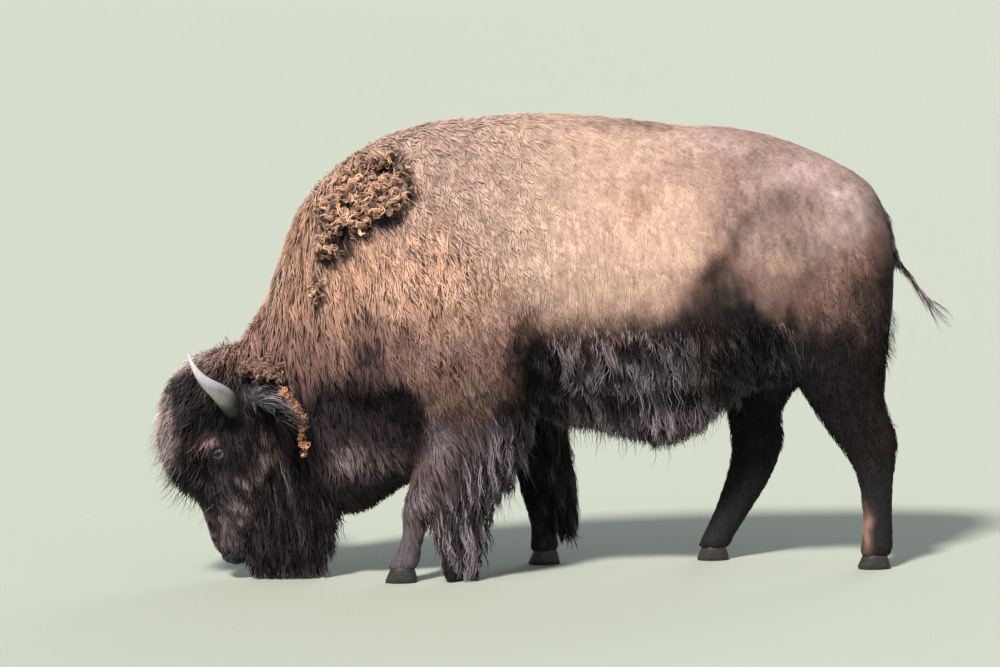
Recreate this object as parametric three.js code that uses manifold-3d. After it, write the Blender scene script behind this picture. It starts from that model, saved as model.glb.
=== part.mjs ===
// American bison: a young bull grazing, as a still life-size model.
// Millimetres, +Z up. The animal faces -X and its left side is -Y. The origin is under the middle
// of the whole animal, on the ground.
//
// Every soft part is a loft: a row of ribs, each an egg-shaped ring between two outline points in
// the side view. The lofts reach out to the tips of the coat. Neighbours are cut by each other's
// shape, a hair's breadth larger, so that the parts fit together and never overlap.

import * as THREE from 'three';
import { ParametricGeometry } from 'three/addons/geometries/ParametricGeometry.js';
import { mergeVertices } from 'three/addons/utils/BufferGeometryUtils.js';
import Module from 'manifold-3d';

const wasm = await Module();
wasm.setup();

// Driving dimensions
const GAP = 0.3; // clearance between parts that touch
const HOOF_HEIGHT = 48;
const HOOF_LENGTH = 118; // of one claw along the ground
const HOOF_WIDTH = 47; // of one claw
const CLEFT = 5; // between the two claws of a foot
const TOE_LEAN = 19; // how far the toe slopes back from the sole to the top
const TOE_REACH = 8; // of the sole, in front of the hair above it
const FORE_TRACK = 165; // sideways distance of a forefoot from the middle
const HIND_TRACK = 152;
const CHAPS_OUT = 20; // the chaps hang this much further out than the leg
const EYE_RADIUS = 20;
const HEAD_TURN = THREE.MathUtils.degToRad(8); // the face is turned a little to its right
const HEAD_PIVOT = new THREE.Vector3(-960, 0, 0);
const SIDES = { left: -1, right: 1 };

// Colours and finishes of the named parts
const FINISH = {
  wool: { color: 0x6b4a35, roughness: 0.95 },
  mane: { color: 0x2b201c, roughness: 0.9 },
  face: { color: 0x231a18, roughness: 0.85 },
  horn: { color: 0xa9a39b, roughness: 0.45 },
  hoof: { color: 0x1d1a18, roughness: 0.5 },
  eye: { color: 0x140d0a, roughness: 0.1 },
};

// A closed solid from a geometry whose rings share their seam and their poles
function solidFrom(geometry) {
  geometry.deleteAttribute('normal');
  geometry.deleteAttribute('uv');
  const welded = mergeVertices(geometry, 1e-3);
  const corners = welded.index.array;
  const triangles = [];
  for (let i = 0; i < corners.length; i += 3) {
    const [a, b, c] = corners.slice(i, i + 3);
    if (a !== b && b !== c && c !== a) triangles.push(a, b, c);
  }
  return new wasm.Manifold(new wasm.Mesh({
    numProp: 3,
    vertProperties: Float32Array.from(welded.attributes.position.array),
    triVerts: Uint32Array.from(triangles),
  }));
}

// A tube whose ring at t (0 to 1) is { centre, across, side, egg }. The first and last rows of
// vertices meet in a pole, which closes the end with a flat fan.
function tube(ringAt, around, along, place = new THREE.Matrix4()) {
  const surface = (u, v, target) => {
    const row = Math.round(v * along);
    const t = THREE.MathUtils.clamp((row - 1) / (along - 2), 0, 1);
    const isPole = row === 0 || row === along;
    const ring = ringAt(t);
    const angle = 2 * Math.PI * (u % 1);
    const reach = isPole ? 0 : Math.cos(angle);
    const spread = isPole ? 0 : Math.sin(angle) * (1 - ring.egg * Math.cos(angle));
    target.copy(ring.centre).addScaledVector(ring.across, reach).addScaledVector(ring.side, spread);
  };
  const geometry = new ParametricGeometry(surface, around, along);
  geometry.applyMatrix4(place);
  return solidFrom(geometry);
}

// How far a ring moves outwards along its tube, so that a grown tube is longer at both ends too
const endShift = (t, grow) => (t === 1 ? grow : 0) - (t === 0 ? grow : 0);

// A loft over ribs [frontX, frontZ, backX, backZ, halfWidth, egg]; egg narrows the front end
function loft(ribs, { y = 0, grow = 0, around = 14, along = 2 * ribs.length, place } = {}) {
  const front = new THREE.CatmullRomCurve3(ribs.map((r) => new THREE.Vector3(r[0], y, r[1])));
  const back = new THREE.CatmullRomCurve3(ribs.map((r) => new THREE.Vector3(r[2], y, r[3])));
  const girth = new THREE.CatmullRomCurve3(ribs.map((r) => new THREE.Vector3(r[4], r[5] ?? 0, 0)));
  const ringAt = (t) => {
    const from = back.getPoint(t);
    const to = front.getPoint(t);
    const { x: halfWidth, y: egg } = girth.getPoint(t);
    const across = to.clone().sub(from).multiplyScalar(0.5);
    const sideways = new THREE.Vector3(0, 1, 0);
    const heading = across.clone().cross(sideways).normalize();
    return {
      centre: from.clone().add(to).multiplyScalar(0.5).addScaledVector(heading, endShift(t, grow)),
      across: across.setLength(across.length() + grow),
      side: sideways.multiplyScalar(halfWidth + grow),
      egg,
    };
  };
  return tube(ringAt, around, along, place);
}

// A tapered tube along a path of points; radii are [broad, thin], and broad lies along `broadside`
function taper(points, radii, broadside, { grow = 0, around = 10, along = 12, place } = {}) {
  const path = new THREE.CatmullRomCurve3(points.map((p) => new THREE.Vector3(...p)));
  const girth = new THREE.CatmullRomCurve3(radii.map((r) => new THREE.Vector3(r[0], r[1], 0)));
  const ringAt = (t) => {
    const heading = path.getTangent(t);
    const broad = broadside.clone().addScaledVector(heading, -broadside.dot(heading)).normalize();
    const { x: broadRadius, y: thinRadius } = girth.getPoint(t);
    return {
      centre: path.getPoint(t).addScaledVector(heading, endShift(t, grow)),
      across: broad.clone().multiplyScalar(broadRadius + grow),
      side: heading.clone().cross(broad).multiplyScalar(thinRadius + grow),
      egg: 0,
    };
  };
  return tube(ringAt, around, along, place);
}

// Where cutting leaves crumbs beside the part itself, only the part is kept
function largest(solid) {
  const pieces = solid.decompose();
  return pieces.reduce((best, piece) => (piece.volume() > best.volume() ? piece : best));
}

// `solid` without the room that its neighbours take up
function cutBy(solid, ...neighbours) {
  return largest(neighbours.reduce((rest, neighbour) => rest.subtract(neighbour), solid));
}

// Parts a solid in two at a plane, given by its normal and one point on it, with a gap between
function part(solid, { normal, point }) {
  const length = Math.hypot(...normal);
  const unit = normal.map((n) => n / length);
  const offset = unit.reduce((sum, n, i) => sum + n * point[i], 0);
  const [ahead] = solid.splitByPlane(unit, offset + GAP / 2);
  const [, behind] = solid.splitByPlane(unit, offset - GAP / 2);
  return [largest(ahead), largest(behind)];
}

const bison = new THREE.Group();

function add(name, solid, finish) {
  const { vertProperties, triVerts } = solid.getMesh();
  const geometry = new THREE.BufferGeometry();
  geometry.setAttribute('position', new THREE.BufferAttribute(vertProperties, 3));
  geometry.setIndex(new THREE.BufferAttribute(triVerts, 1));
  geometry.computeVertexNormals();
  const material = new THREE.MeshStandardMaterial({ metalness: 0, ...FINISH[finish] });
  const mesh = new THREE.Mesh(geometry, material);
  mesh.name = name;
  bison.add(mesh);
}

// --- Trunk and neck: one loft from the tail end to the throat ---

const TRUNK = [
  [1364, 1150, 1362, 1010, 55],
  [1342, 1278, 1350, 880, 135],
  [1306, 1384, 1322, 790, 180, 0.05],
  [1222, 1458, 1235, 735, 218, 0.12],
  [1043, 1552, 1050, 690, 246, 0.18],
  [859, 1615, 850, 655, 270, 0.2],
  [675, 1644, 670, 628, 292, 0.2],
  [400, 1686, 400, 612, 318, 0.24],
  [122, 1720, 120, 590, 330, 0.34],
  [-120, 1712, -50, 520, 326, 0.4],
  [-330, 1686, -210, 440, 308, 0.42],
  [-520, 1630, -370, 364, 284, 0.38],
  [-680, 1537, -480, 308, 258, 0.3],
  [-795, 1410, -570, 250, 238, 0.2],
  [-872, 1240, -645, 228, 222, 0.12],
  [-930, 1085, -700, 232, 208, 0.06],
  [-978, 985, -760, 286, 192],
  [-1036, 915, -830, 370, 160],
  [-1030, 800, -900, 480, 88],
];
const trunkLoft = (grow = 0) => loft(TRUNK, { grow, around: 20, along: 32 });

// --- Head: skull, muzzle, eyes, horns and ears, all turned together ---

const turned = new THREE.Matrix4()
  .makeTranslation(HEAD_PIVOT)
  .multiply(new THREE.Matrix4().makeRotationZ(-HEAD_TURN))
  .multiply(new THREE.Matrix4().makeTranslation(HEAD_PIVOT.clone().negate()));

const HEAD = [
  [-1050, 862, -950, 800, 55],
  [-1125, 835, -905, 690, 118],
  [-1195, 750, -885, 585, 145],
  [-1238, 650, -880, 490, 152],
  [-1260, 550, -890, 400, 146],
  [-1268, 455, -905, 320, 132, 0.05],
  [-1256, 370, -940, 250, 108, 0.08],
  [-1233, 290, -980, 190, 90, 0.05],
  [-1210, 215, -1010, 135, 82],
  [-1190, 150, -1035, 92, 80, -0.05],
  [-1170, 100, -1055, 66, 68],
  [-1145, 68, -1080, 52, 40],
];
const headLoft = (grow = 0) => loft(HEAD, { grow, around: 16, along: 20, place: turned });

const HORN_PATH = [
  [-1052, 80, 622],
  [-1064, 162, 664],
  [-1067, 232, 706],
  [-1084, 284, 746],
  [-1121, 314, 776],
  [-1154, 328, 822],
  [-1175, 322, 872],
];
const HORN_RADII = [[40, 40], [41, 41], [41, 41], [35, 35], [27, 27], [16, 16], [4, 4]];
const EAR_PATH = [[-990, 105, 715], [-962, 168, 712], [-912, 232, 688], [-852, 282, 612]];
const EAR_RADII = [[34, 24], [50, 22], [48, 18], [10, 9]];
const EAR_BROADSIDE = new THREE.Vector3(0.7, 0, 0.7);
const HORN_BROADSIDE = new THREE.Vector3(1, 0, 0);
const EYE_PLACE = [-1114, 130, 484];

const onSide = (points, sign) => points.map(([x, y, z]) => [x, sign * y, z]);
const horn = (sign, grow = 0) =>
  taper(onSide(HORN_PATH, sign), HORN_RADII, HORN_BROADSIDE, { grow, around: 10, along: 11, place: turned });
const ear = (sign, grow = 0) =>
  taper(onSide(EAR_PATH, sign), EAR_RADII, EAR_BROADSIDE, { grow, around: 8, along: 8, place: turned });

function eye(sign, grow = 0) {
  const ball = new THREE.SphereGeometry(EYE_RADIUS + grow, 12, 8);
  ball.translate(...onSide([EYE_PLACE], sign)[0]);
  ball.applyMatrix4(turned);
  return solidFrom(ball);
}

// Planes that part the body, each with the normal that points to the part named first
const PARTINGS = {
  craniumFromMuzzle: { normal: [0.2, 0, 1], point: [-1130, 0, 270] },
  trunkFromNeck: { normal: [1, 0, 0.3], point: [-600, 0, 900] },
  barrelFromShoulder: { normal: [1, 0, 0.05], point: [60, 0, 900] },
  hipsFromBarrel: { normal: [1, 0, 0.2], point: [780, 0, 1000] },
};

const trunk = trunkLoft();
const trunkRoom = trunkLoft(GAP);
const hornRooms = Object.values(SIDES).map((sign) => horn(sign, GAP));
const eyeRooms = Object.values(SIDES).map((sign) => eye(sign, GAP));
const headRoom = headLoft(GAP);
const earRooms = Object.values(SIDES).map((sign) => cutBy(ear(sign, GAP), headRoom));

const skull = cutBy(headLoft(), ...hornRooms, ...eyeRooms);
const [cranium, muzzle] = part(skull, PARTINGS.craniumFromMuzzle);
add('head', cranium, 'face');
add('muzzle', muzzle, 'face');

// The neck ends where the back of the head begins
const neckAndTrunk = cutBy(trunk, headRoom, ...earRooms);
const [fromShoulder, neck] = part(neckAndTrunk, PARTINGS.trunkFromNeck);
const [fromBarrel, forequarters] = part(fromShoulder, PARTINGS.barrelFromShoulder);
const [hindquarters, barrel] = part(fromBarrel, PARTINGS.hipsFromBarrel);
add('neck', neck, 'mane');
add('forequarters', forequarters, 'wool');
add('barrel', barrel, 'wool');
add('hindquarters', hindquarters, 'wool');

for (const [name, sign] of Object.entries(SIDES)) {
  add(`horn_${name}`, horn(sign), 'horn');
  add(`eye_${name}`, eye(sign), 'eye');
  add(`ear_${name}`, cutBy(ear(sign), headRoom, trunkRoom), 'mane');
}

// --- Long hair of the head: the mop on the forehead and the beard ---

const FORELOCK = [
  [-1050, 886, -960, 790, 70],
  [-1150, 874, -960, 720, 132],
  [-1244, 820, -1000, 660, 166],
  [-1316, 750, -1050, 590, 180],
  [-1356, 645, -1095, 530, 180],
  [-1362, 540, -1150, 480, 158],
  [-1340, 440, -1180, 410, 118],
  [-1300, 374, -1205, 350, 78],
  [-1266, 332, -1225, 322, 34],
];
const BEARD = [
  [-965, 500, -815, 500, 84],
  [-1000, 372, -766, 432, 96],
  [-1052, 250, -712, 330, 96],
  [-1078, 165, -692, 225, 98],
  [-1082, 102, -704, 132, 76],
  [-1050, 60, -728, 74, 44],
  [-985, 36, -800, 46, 16],
];
const forelock = loft(FORELOCK, { around: 12, along: 12, place: turned });
const beard = loft(BEARD, { around: 12, along: 11, place: turned });
add('forelock', cutBy(forelock, headRoom, trunkRoom, ...hornRooms, ...eyeRooms), 'mane');
add('beard', cutBy(beard, headRoom, trunkRoom), 'mane');

// --- Legs: each is one loft, parted below the knee or hock ---

const FORE_LEFT = [
  [-330, 880, 20, 900, 60],
  [-336, 760, 40, 760, 92],
  [-350, 640, 5, 620, 95],
  [-378, 540, -110, 500, 82],
  [-412, 440, -215, 400, 68],
  [-447, 340, -300, 310, 60],
  [-466, 262, -345, 250, 56],
  [-464, 200, -378, 190, 44],
  [-478, 140, -395, 125, 42],
  [-505, 88, -402, 78, 49],
  [-526, HOOF_HEIGHT, -422, HOOF_HEIGHT, 51],
];
const FORE_RIGHT = [
  [-243, 880, 107, 900, 60],
  [-218, 760, 127, 760, 92],
  [-168, 640, 127, 620, 95],
  [-113, 540, 107, 500, 82],
  [-73, 440, 102, 410, 68],
  [-43, 345, 109, 325, 60],
  [-28, 280, 105, 265, 56],
  [-5, 200, 92, 192, 44],
  [9, 140, 95, 130, 42],
  [7, 90, 111, 82, 49],
  [5, HOOF_HEIGHT, 111, HOOF_HEIGHT, 51],
];
const HIND_LEFT = [
  [978, 1160, 1278, 1210, 70],
  [918, 1020, 1334, 1060, 106],
  [916, 880, 1342, 890, 114],
  [936, 770, 1330, 750, 104],
  [994, 690, 1316, 645, 84],
  [1054, 590, 1338, 568, 64],
  [1122, 485, 1364, 500, 50],
  [1186, 400, 1362, 440, 46],
  [1220, 300, 1344, 330, 42],
  [1232, 180, 1336, 180, 40],
  [1226, 100, 1338, 98, 47],
  [1216, HOOF_HEIGHT, 1328, HOOF_HEIGHT, 50],
];
const HIND_RIGHT = [
  [888, 1160, 1258, 1210, 70],
  [808, 1020, 1248, 1030, 106],
  [753, 880, 1183, 860, 114],
  [736, 770, 1098, 735, 104],
  [740, 670, 1008, 630, 84],
  [752, 570, 960, 555, 64],
  [766, 460, 970, 462, 50],
  [764, 375, 952, 385, 46],
  [736, 280, 893, 268, 42],
  [700, 180, 823, 165, 40],
  [663, 105, 776, 95, 47],
  [640, HOOF_HEIGHT, 748, HOOF_HEIGHT, 50],
];

// One claw of a cloven hoof: a D-shaped block that leans back from the toe, flat underneath
function claw(toeX, y, outward) {
  const ringAt = (t) => ({
    centre: new THREE.Vector3(toeX + (HOOF_LENGTH + t * TOE_LEAN) / 2, y, t * (HOOF_HEIGHT - GAP)),
    across: new THREE.Vector3((t * TOE_LEAN - HOOF_LENGTH) / 2, 0, 0),
    side: new THREE.Vector3(0, -HOOF_WIDTH / 2, 0),
    egg: 0.18,
  });
  return tube(ringAt, 10, 3, new THREE.Matrix4().makeTranslation(0, outward * CLEFT / 2, 0));
}

const LEGS = {
  fore: {
    names: ['foreleg', 'cannon_fore'],
    track: FORE_TRACK,
    left: { ribs: FORE_LEFT, cut: { normal: [0.5, 0, 1], point: [-420, 0, 225] } },
    right: { ribs: FORE_RIGHT, cut: { normal: [0.3, 0, 1], point: [45, 0, 235] } },
  },
  hind: {
    names: ['thigh', 'cannon_hind'],
    track: HIND_TRACK,
    left: { ribs: HIND_LEFT, cut: { normal: [-0.4, 0, 1], point: [1300, 0, 400] } },
    right: { ribs: HIND_RIGHT, cut: { normal: [-0.6, 0, 1], point: [850, 0, 360] } },
  },
};
const legLoft = (end, side, grow = 0) =>
  loft(LEGS[end][side].ribs, { y: SIDES[side] * LEGS[end].track, grow, around: 10, along: 17 });
const legRooms = [];

for (const [end, { names, track, ...bothSides }] of Object.entries(LEGS)) {
  for (const [side, { ribs, cut }] of Object.entries(bothSides)) {
    const leg = cutBy(legLoft(end, side), trunkRoom);
    const [upper, lower] = part(leg, cut);
    add(`${names[0]}_${side}`, upper, 'wool');
    add(`${names[1]}_${side}`, lower.splitByPlane([0, 0, 1], HOOF_HEIGHT + GAP)[0], 'mane');
    legRooms.push(legLoft(end, side, GAP));
    const toeX = ribs.at(-1)[0] - TOE_REACH;
    for (const [claws, outward] of [['outer', SIDES[side]], ['inner', -SIDES[side]]]) {
      const y = SIDES[side] * track + outward * HOOF_WIDTH / 2;
      add(`hoof_${end}_${side}_${claws}`, claw(toeX, y, outward), 'hoof');
    }
  }
}

// --- Long hair of the body: the chaps of the forelegs, the belly fringe and the tail ---

const CHAPS_LEFT = [
  [-150, 670, 24, 690, 50],
  [-205, 570, 34, 615, 80],
  [-272, 460, 12, 500, 80],
  [-330, 365, -40, 392, 72],
  [-352, 260, -130, 290, 56],
  [-352, 160, -158, 165, 42],
  [-338, 76, -176, 80, 26],
  [-318, 34, -230, 34, 8],
];
const CHAPS_RIGHT = [
  [60, 670, 150, 690, 50],
  [20, 570, 150, 600, 76],
  [10, 460, 166, 495, 76],
  [20, 350, 182, 390, 66],
  [60, 260, 190, 280, 50],
  [90, 180, 186, 190, 34],
  [120, 110, 175, 120, 12],
];
const CHAPS = { left: CHAPS_LEFT, right: CHAPS_RIGHT };
const chapsLoft = (side, grow = 0) =>
  loft(CHAPS[side], { y: SIDES[side] * (FORE_TRACK + CHAPS_OUT), grow, around: 12, along: 14 });
for (const side of Object.keys(SIDES)) {
  add(`chaps_${side}`, cutBy(chapsLoft(side), trunkRoom, ...legRooms), 'mane');
}
const chapsRooms = Object.keys(SIDES).map((side) => chapsLoft(side, GAP));

const BELLY_FRINGE = [
  [800, 690, 800, 630, 80],
  [735, 700, 735, 580, 135],
  [660, 700, 660, 508, 156],
  [575, 700, 575, 470, 168],
  [494, 700, 494, 448, 176],
  [400, 700, 400, 484, 180],
  [274, 700, 274, 520, 176],
  [126, 700, 126, 545, 146],
  [30, 640, 30, 590, 54],
];
const fringe = loft(BELLY_FRINGE, { around: 12, along: 14 });
add('belly_fringe', cutBy(fringe, trunkRoom, ...legRooms, ...chapsRooms), 'mane');

const TAIL_PATH = [[1290, 0, 1350], [1338, 0, 1298], [1366, 0, 1200], [1404, 0, 1106]];
const TAIL_RADII = [[22, 26], [24, 26], [17, 18], [13, 13]];
const TUFT_PATH = [[1397, 0, 1124], [1432, 0, 1060], [1478, 0, 996], [1525, 0, 940]];
const TUFT_RADII = [[14, 14], [25, 22], [26, 22], [5, 5]];
const LEVEL = new THREE.Vector3(1, 0, 0);
const tailTaper = (grow = 0) => taper(TAIL_PATH, TAIL_RADII, LEVEL, { grow, around: 8 });
const tuft = taper(TUFT_PATH, TUFT_RADII, LEVEL, { around: 8, along: 8 });
add('tail', cutBy(tailTaper(), trunkRoom), 'mane');
add('tail_tuft', cutBy(tuft, tailTaper(GAP)), 'mane');

// The middle of the footprint goes to the origin
const box = new THREE.Box3().setFromObject(bison);
const middle = box.getCenter(new THREE.Vector3());
bison.position.set(-middle.x, -middle.y, -box.min.z);

export default bison;
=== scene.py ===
# %% [markdown]
# # American bison, grazing
# The solids of the frame give the true outline of the animal, out to the tips of its coat. This
# lesson puts a living surface into that outline: one skin under the coat, then the coat itself as
# many thousands of small solid tufts, then horns, eyes and hooves. The animal faces -X and its
# left side, which the camera sees, is -Y.

# %% Load the frame
import math

import bmesh
import bpy
import numpy as np
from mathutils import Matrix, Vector
from mathutils.bvhtree import BVHTree
from mathutils.kdtree import KDTree


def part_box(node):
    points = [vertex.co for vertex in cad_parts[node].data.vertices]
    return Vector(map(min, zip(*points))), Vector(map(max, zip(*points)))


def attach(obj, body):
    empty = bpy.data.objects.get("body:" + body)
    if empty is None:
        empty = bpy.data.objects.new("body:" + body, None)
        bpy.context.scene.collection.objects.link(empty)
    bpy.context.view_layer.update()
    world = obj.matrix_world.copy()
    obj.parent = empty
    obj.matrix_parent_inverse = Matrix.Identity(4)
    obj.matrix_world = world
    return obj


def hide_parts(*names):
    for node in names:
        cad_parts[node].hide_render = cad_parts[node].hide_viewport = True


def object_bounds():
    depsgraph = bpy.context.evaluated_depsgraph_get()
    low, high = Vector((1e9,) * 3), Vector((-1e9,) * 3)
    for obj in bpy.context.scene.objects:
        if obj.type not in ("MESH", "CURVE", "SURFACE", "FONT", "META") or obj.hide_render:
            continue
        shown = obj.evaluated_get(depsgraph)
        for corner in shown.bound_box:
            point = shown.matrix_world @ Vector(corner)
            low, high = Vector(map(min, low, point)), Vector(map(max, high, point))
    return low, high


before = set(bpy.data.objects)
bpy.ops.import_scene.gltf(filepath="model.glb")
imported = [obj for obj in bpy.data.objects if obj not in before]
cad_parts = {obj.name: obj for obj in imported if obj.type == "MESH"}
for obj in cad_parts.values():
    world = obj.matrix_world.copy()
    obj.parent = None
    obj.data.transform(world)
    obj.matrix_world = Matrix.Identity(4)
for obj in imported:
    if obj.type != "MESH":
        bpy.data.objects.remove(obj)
cad_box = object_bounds()
rng = np.random.default_rng(1872)
print("the frame holds", len(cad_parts), "nodes")

# %% [markdown]
# ## Landmarks
# The main places are worked out from the boxes of the frame's nodes, so the looks follow the model
# if it changes. Folds and markings lie at distances behind the animal's foremost point and above
# the floor. The head is turned a little, so it has three directions of its own: down the face, out
# of the forehead and to the animal's left.

# %% Find landmarks
SIDES = {"left": -1, "right": 1}


def corners(node):
    low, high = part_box(node)
    return np.array(low), np.array(high)


def middle(node):
    low, high = corners(node)
    return (low + high) / 2


def unit(v):
    return v / np.maximum(np.linalg.norm(v, axis=-1, keepdims=True), 1e-9)


def read_points(mesh):
    points = np.empty(len(mesh.vertices) * 3)
    mesh.vertices.foreach_get("co", points)
    return points.reshape(-1, 3)


def node_points(node):
    return read_points(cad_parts[node].data)


def at(node, along, up):
    """A place in a node's box: along from front to rear and up are shares of the box."""
    low, high = corners(node)
    return low + (high - low) * [along, 0.5, up]


front = cad_box[0][0]
mid_y = middle("barrel")[1]
eyes = {side: middle(f"eye_{side}") for side in SIDES}
between_eyes = (eyes["left"] + eyes["right"]) / 2
to_left = unit((eyes["left"] - eyes["right"]) * [1, 1, 0])
muzzle_points = node_points("muzzle")
mouth = muzzle_points[muzzle_points[:, 2] < muzzle_points[:, 2].min() + 0.03].mean(axis=0)
down_face = mouth - between_eyes
down_face = unit(down_face - to_left * (down_face @ to_left))
out_of_face = np.cross(to_left, down_face)
out_of_face = out_of_face * np.sign(-out_of_face[0])
print("between the eyes", between_eyes.round(3), "; the forehead faces", out_of_face.round(2))

# %% [markdown]
# ## Camera, light and floor
# The camera stands far off with a long lens, a little above the middle of the back, and is tipped
# slightly about its own axis. A short lens close by would swell the near side. One broad key light
# stands high over the animal's left shoulder, as a high sun would, a weak one lights the far side,
# and a pale sky fills the rest.

# %% Set the camera
VIEW_DISTANCE = 14.5
VIEW_WIDTH = 3.70  # metres across the picture at the animal
VIEW_TILT = math.radians(6.0)
VIEW_ROLL = math.radians(1.6)
VIEW_AIM = Vector((-0.171, mid_y, 0.891))


def put_in_scene(name, data):
    thing = bpy.data.objects.new(name, data)
    bpy.context.collection.objects.link(thing)
    return thing


camera_data = bpy.data.cameras.new("view")
camera_data.lens = camera_data.sensor_width * VIEW_DISTANCE / VIEW_WIDTH
camera_data.clip_end = 200.0
camera = put_in_scene("view", camera_data)
view_heading = Vector((0.0, math.cos(VIEW_TILT), -math.sin(VIEW_TILT)))
camera.location = VIEW_AIM - view_heading * VIEW_DISTANCE
upright = view_heading.to_track_quat("-Z", "Y").to_euler()
upright.rotate_axis("Z", -VIEW_ROLL)
camera.rotation_euler = upright
bpy.context.scene.camera = camera
print("lens", round(camera_data.lens, 1), "mm")


# %% Set the lights and the floor
def soft_sun(name, comes_from, power, width, tint):
    data = bpy.data.lights.new(name, "SUN")
    data.energy = power
    data.angle = math.radians(width)
    data.color = tint
    lamp = put_in_scene(name, data)
    lamp.rotation_euler = Vector(comes_from).to_track_quat("Z", "Y").to_euler()


FLOOR_SIZE = 900.0
soft_sun("key", (-0.34, -0.62, 0.85), 6.2, 9.0, (1.0, 0.96, 0.92))
soft_sun("far side", (0.5, 0.8, 0.55), 0.7, 30.0, (0.95, 0.97, 1.0))
sky = bpy.data.worlds.new("sky")
sky.use_nodes = True
background = sky.node_tree.nodes["Background"]
background.inputs["Color"].default_value = (0.88, 0.94, 1.0, 1.0)
background.inputs["Strength"].default_value = 0.6
bpy.context.scene.world = sky
bpy.context.scene.view_settings.view_transform = "Standard"


def new_material(name, **constants):
    """A material with its shader, whose plain numbers and colours are set on its own sockets."""
    material = bpy.data.materials.new(name)
    material.use_nodes = True
    shader = material.node_tree.nodes["Principled BSDF"]
    for label, value in constants.items():
        shader.inputs[label.replace("_", " ")].default_value = value
    return material, shader


floor_mesh = bpy.data.meshes.new("floor")
floor_mesh.from_pydata([(x * FLOOR_SIZE / 2, y * FLOOR_SIZE / 2, 0)
                        for x, y in ((-1, -1), (1, -1), (1, 1), (-1, 1))], [], [(0, 1, 2, 3)])
floor_paint, _ = new_material("floor_paint", Base_Color=(0.30, 0.325, 0.27, 1.0), Roughness=0.9)
floor_mesh.materials.append(floor_paint)
put_in_scene("floor", floor_mesh)

# %% [markdown]
# ## The skin
# A museum sculptor would build one body and lay the coat over it. The flesh nodes of the frame are
# gathered into one lump, with the roots of the long hair, and remeshed with small even voxels so
# that the cuts between them vanish. Modelling the skin by hand would never follow the solids so
# closely. The face is then divided more finely, because it is sculpted further.

# %% Name the flesh and the long hair
FLESH = ["head", "muzzle", "neck", "forequarters", "barrel", "hindquarters", "tail",
         "ear_left", "ear_right", "foreleg_left", "foreleg_right", "cannon_fore_left",
         "cannon_fore_right", "thigh_left", "thigh_right", "cannon_hind_left", "cannon_hind_right"]
LONG_HAIR = ["forelock", "beard", "chaps_left", "chaps_right", "belly_fringe", "tail_tuft"]


# %% Find the roots of the horns
def spine_of(points, start, heading, step):
    """Walks along a long thin solid and returns the middle of its points at every step."""
    spine = [start]
    while True:
        ahead = (points - spine[-1]) @ heading
        slab = points[(ahead > 0.4 * step) & (ahead < 1.6 * step)
                      & (np.linalg.norm(points - spine[-1], axis=1) < 2.6 * step)]
        if len(slab) < 3:
            return np.array(spine)
        heading = unit(0.5 * heading + 0.5 * unit(slab.mean(axis=0) - spine[-1]))
        spine.append(slab.mean(axis=0))


horn_roots = {}
for side, sign in SIDES.items():
    points = node_points(f"horn_{side}")
    outward = points @ (-sign * to_left)
    horn_roots[side] = points[outward < outward.min() + 0.03].mean(axis=0)
print("a horn grows at", horn_roots["left"].round(3))


# %% Gather the lump
SKIN_VOXEL = 0.014
HORN_PLUG = 0.052  # radius of a ball that closes the skull where the horn grows


def pour(build, mesh):
    """Writes a mesh under construction into a finished one."""
    build.to_mesh(mesh)
    build.free()
    mesh.update()
    return mesh


def make_smooth(mesh):
    mesh.polygons.foreach_set("use_smooth", np.ones(len(mesh.polygons), dtype=bool))


lump = bmesh.new()
for node in FLESH + LONG_HAIR + ["eye_left", "eye_right"]:
    lump.from_mesh(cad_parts[node].data)
for side, sign in SIDES.items():
    ball = bmesh.ops.create_icosphere(lump, subdivisions=3, radius=HORN_PLUG)
    bmesh.ops.translate(lump, verts=ball["verts"], vec=horn_roots[side] - sign * to_left * 0.01)
bmesh.ops.remove_doubles(lump, verts=lump.verts, dist=1e-5)
skin = put_in_scene("skin", pour(lump, bpy.data.meshes.new("skin")))
print("the lump has", len(skin.data.polygons), "triangles")


# %% Melt the lump into one surface
def make_one_surface(piece, voxel):
    """Melts the solids of a piece into one closed surface of even faces."""
    remesh = piece.modifiers.new("one surface", "REMESH")
    remesh.mode = "VOXEL"
    remesh.voxel_size = voxel
    mesh = bpy.data.meshes.new_from_object(
        piece.evaluated_get(bpy.context.evaluated_depsgraph_get()))
    piece.modifiers.clear()
    mesh.name = piece.name
    piece.data = mesh
    return mesh


skin_mesh = make_one_surface(skin, SKIN_VOXEL)
print("one surface of", len(skin_mesh.polygons), "faces")


# %% Smooth the surface
def write_points(mesh, points):
    mesh.vertices.foreach_set("co", np.ascontiguousarray(points, dtype=np.float32).ravel())
    mesh.update()


def read_normals(mesh):
    normals = np.empty(len(mesh.vertices) * 3)
    mesh.vertex_normals.foreach_get("vector", normals)
    return normals.reshape(-1, 3)


def edge_ends(mesh):
    pairs = np.empty(len(mesh.edges) * 2, dtype=np.int64)
    mesh.edges.foreach_get("vertices", pairs)
    return pairs.reshape(-1, 2)


def averager(mesh):
    """Returns a function that replaces each value by the mean of its neighbours' values."""
    a, b = edge_ends(mesh).T
    ends, others = np.concatenate([a, b]), np.concatenate([b, a])
    count = len(mesh.vertices)
    degree = np.maximum(np.bincount(ends, minlength=count), 1)

    def average(values):
        columns = values.reshape(count, -1).T
        means = [np.bincount(ends, column[others], count) / degree for column in columns]
        return np.stack(means, axis=1).reshape(values.shape)

    return average


def smooth_evenly(points, average, rounds):
    """A shrinking step and then a swelling one, again and again, keeps the volume."""
    for _ in range(rounds):
        points = points + 0.55 * (average(points) - points)
        points = points - 0.57 * (average(points) - points)
    return points


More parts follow.
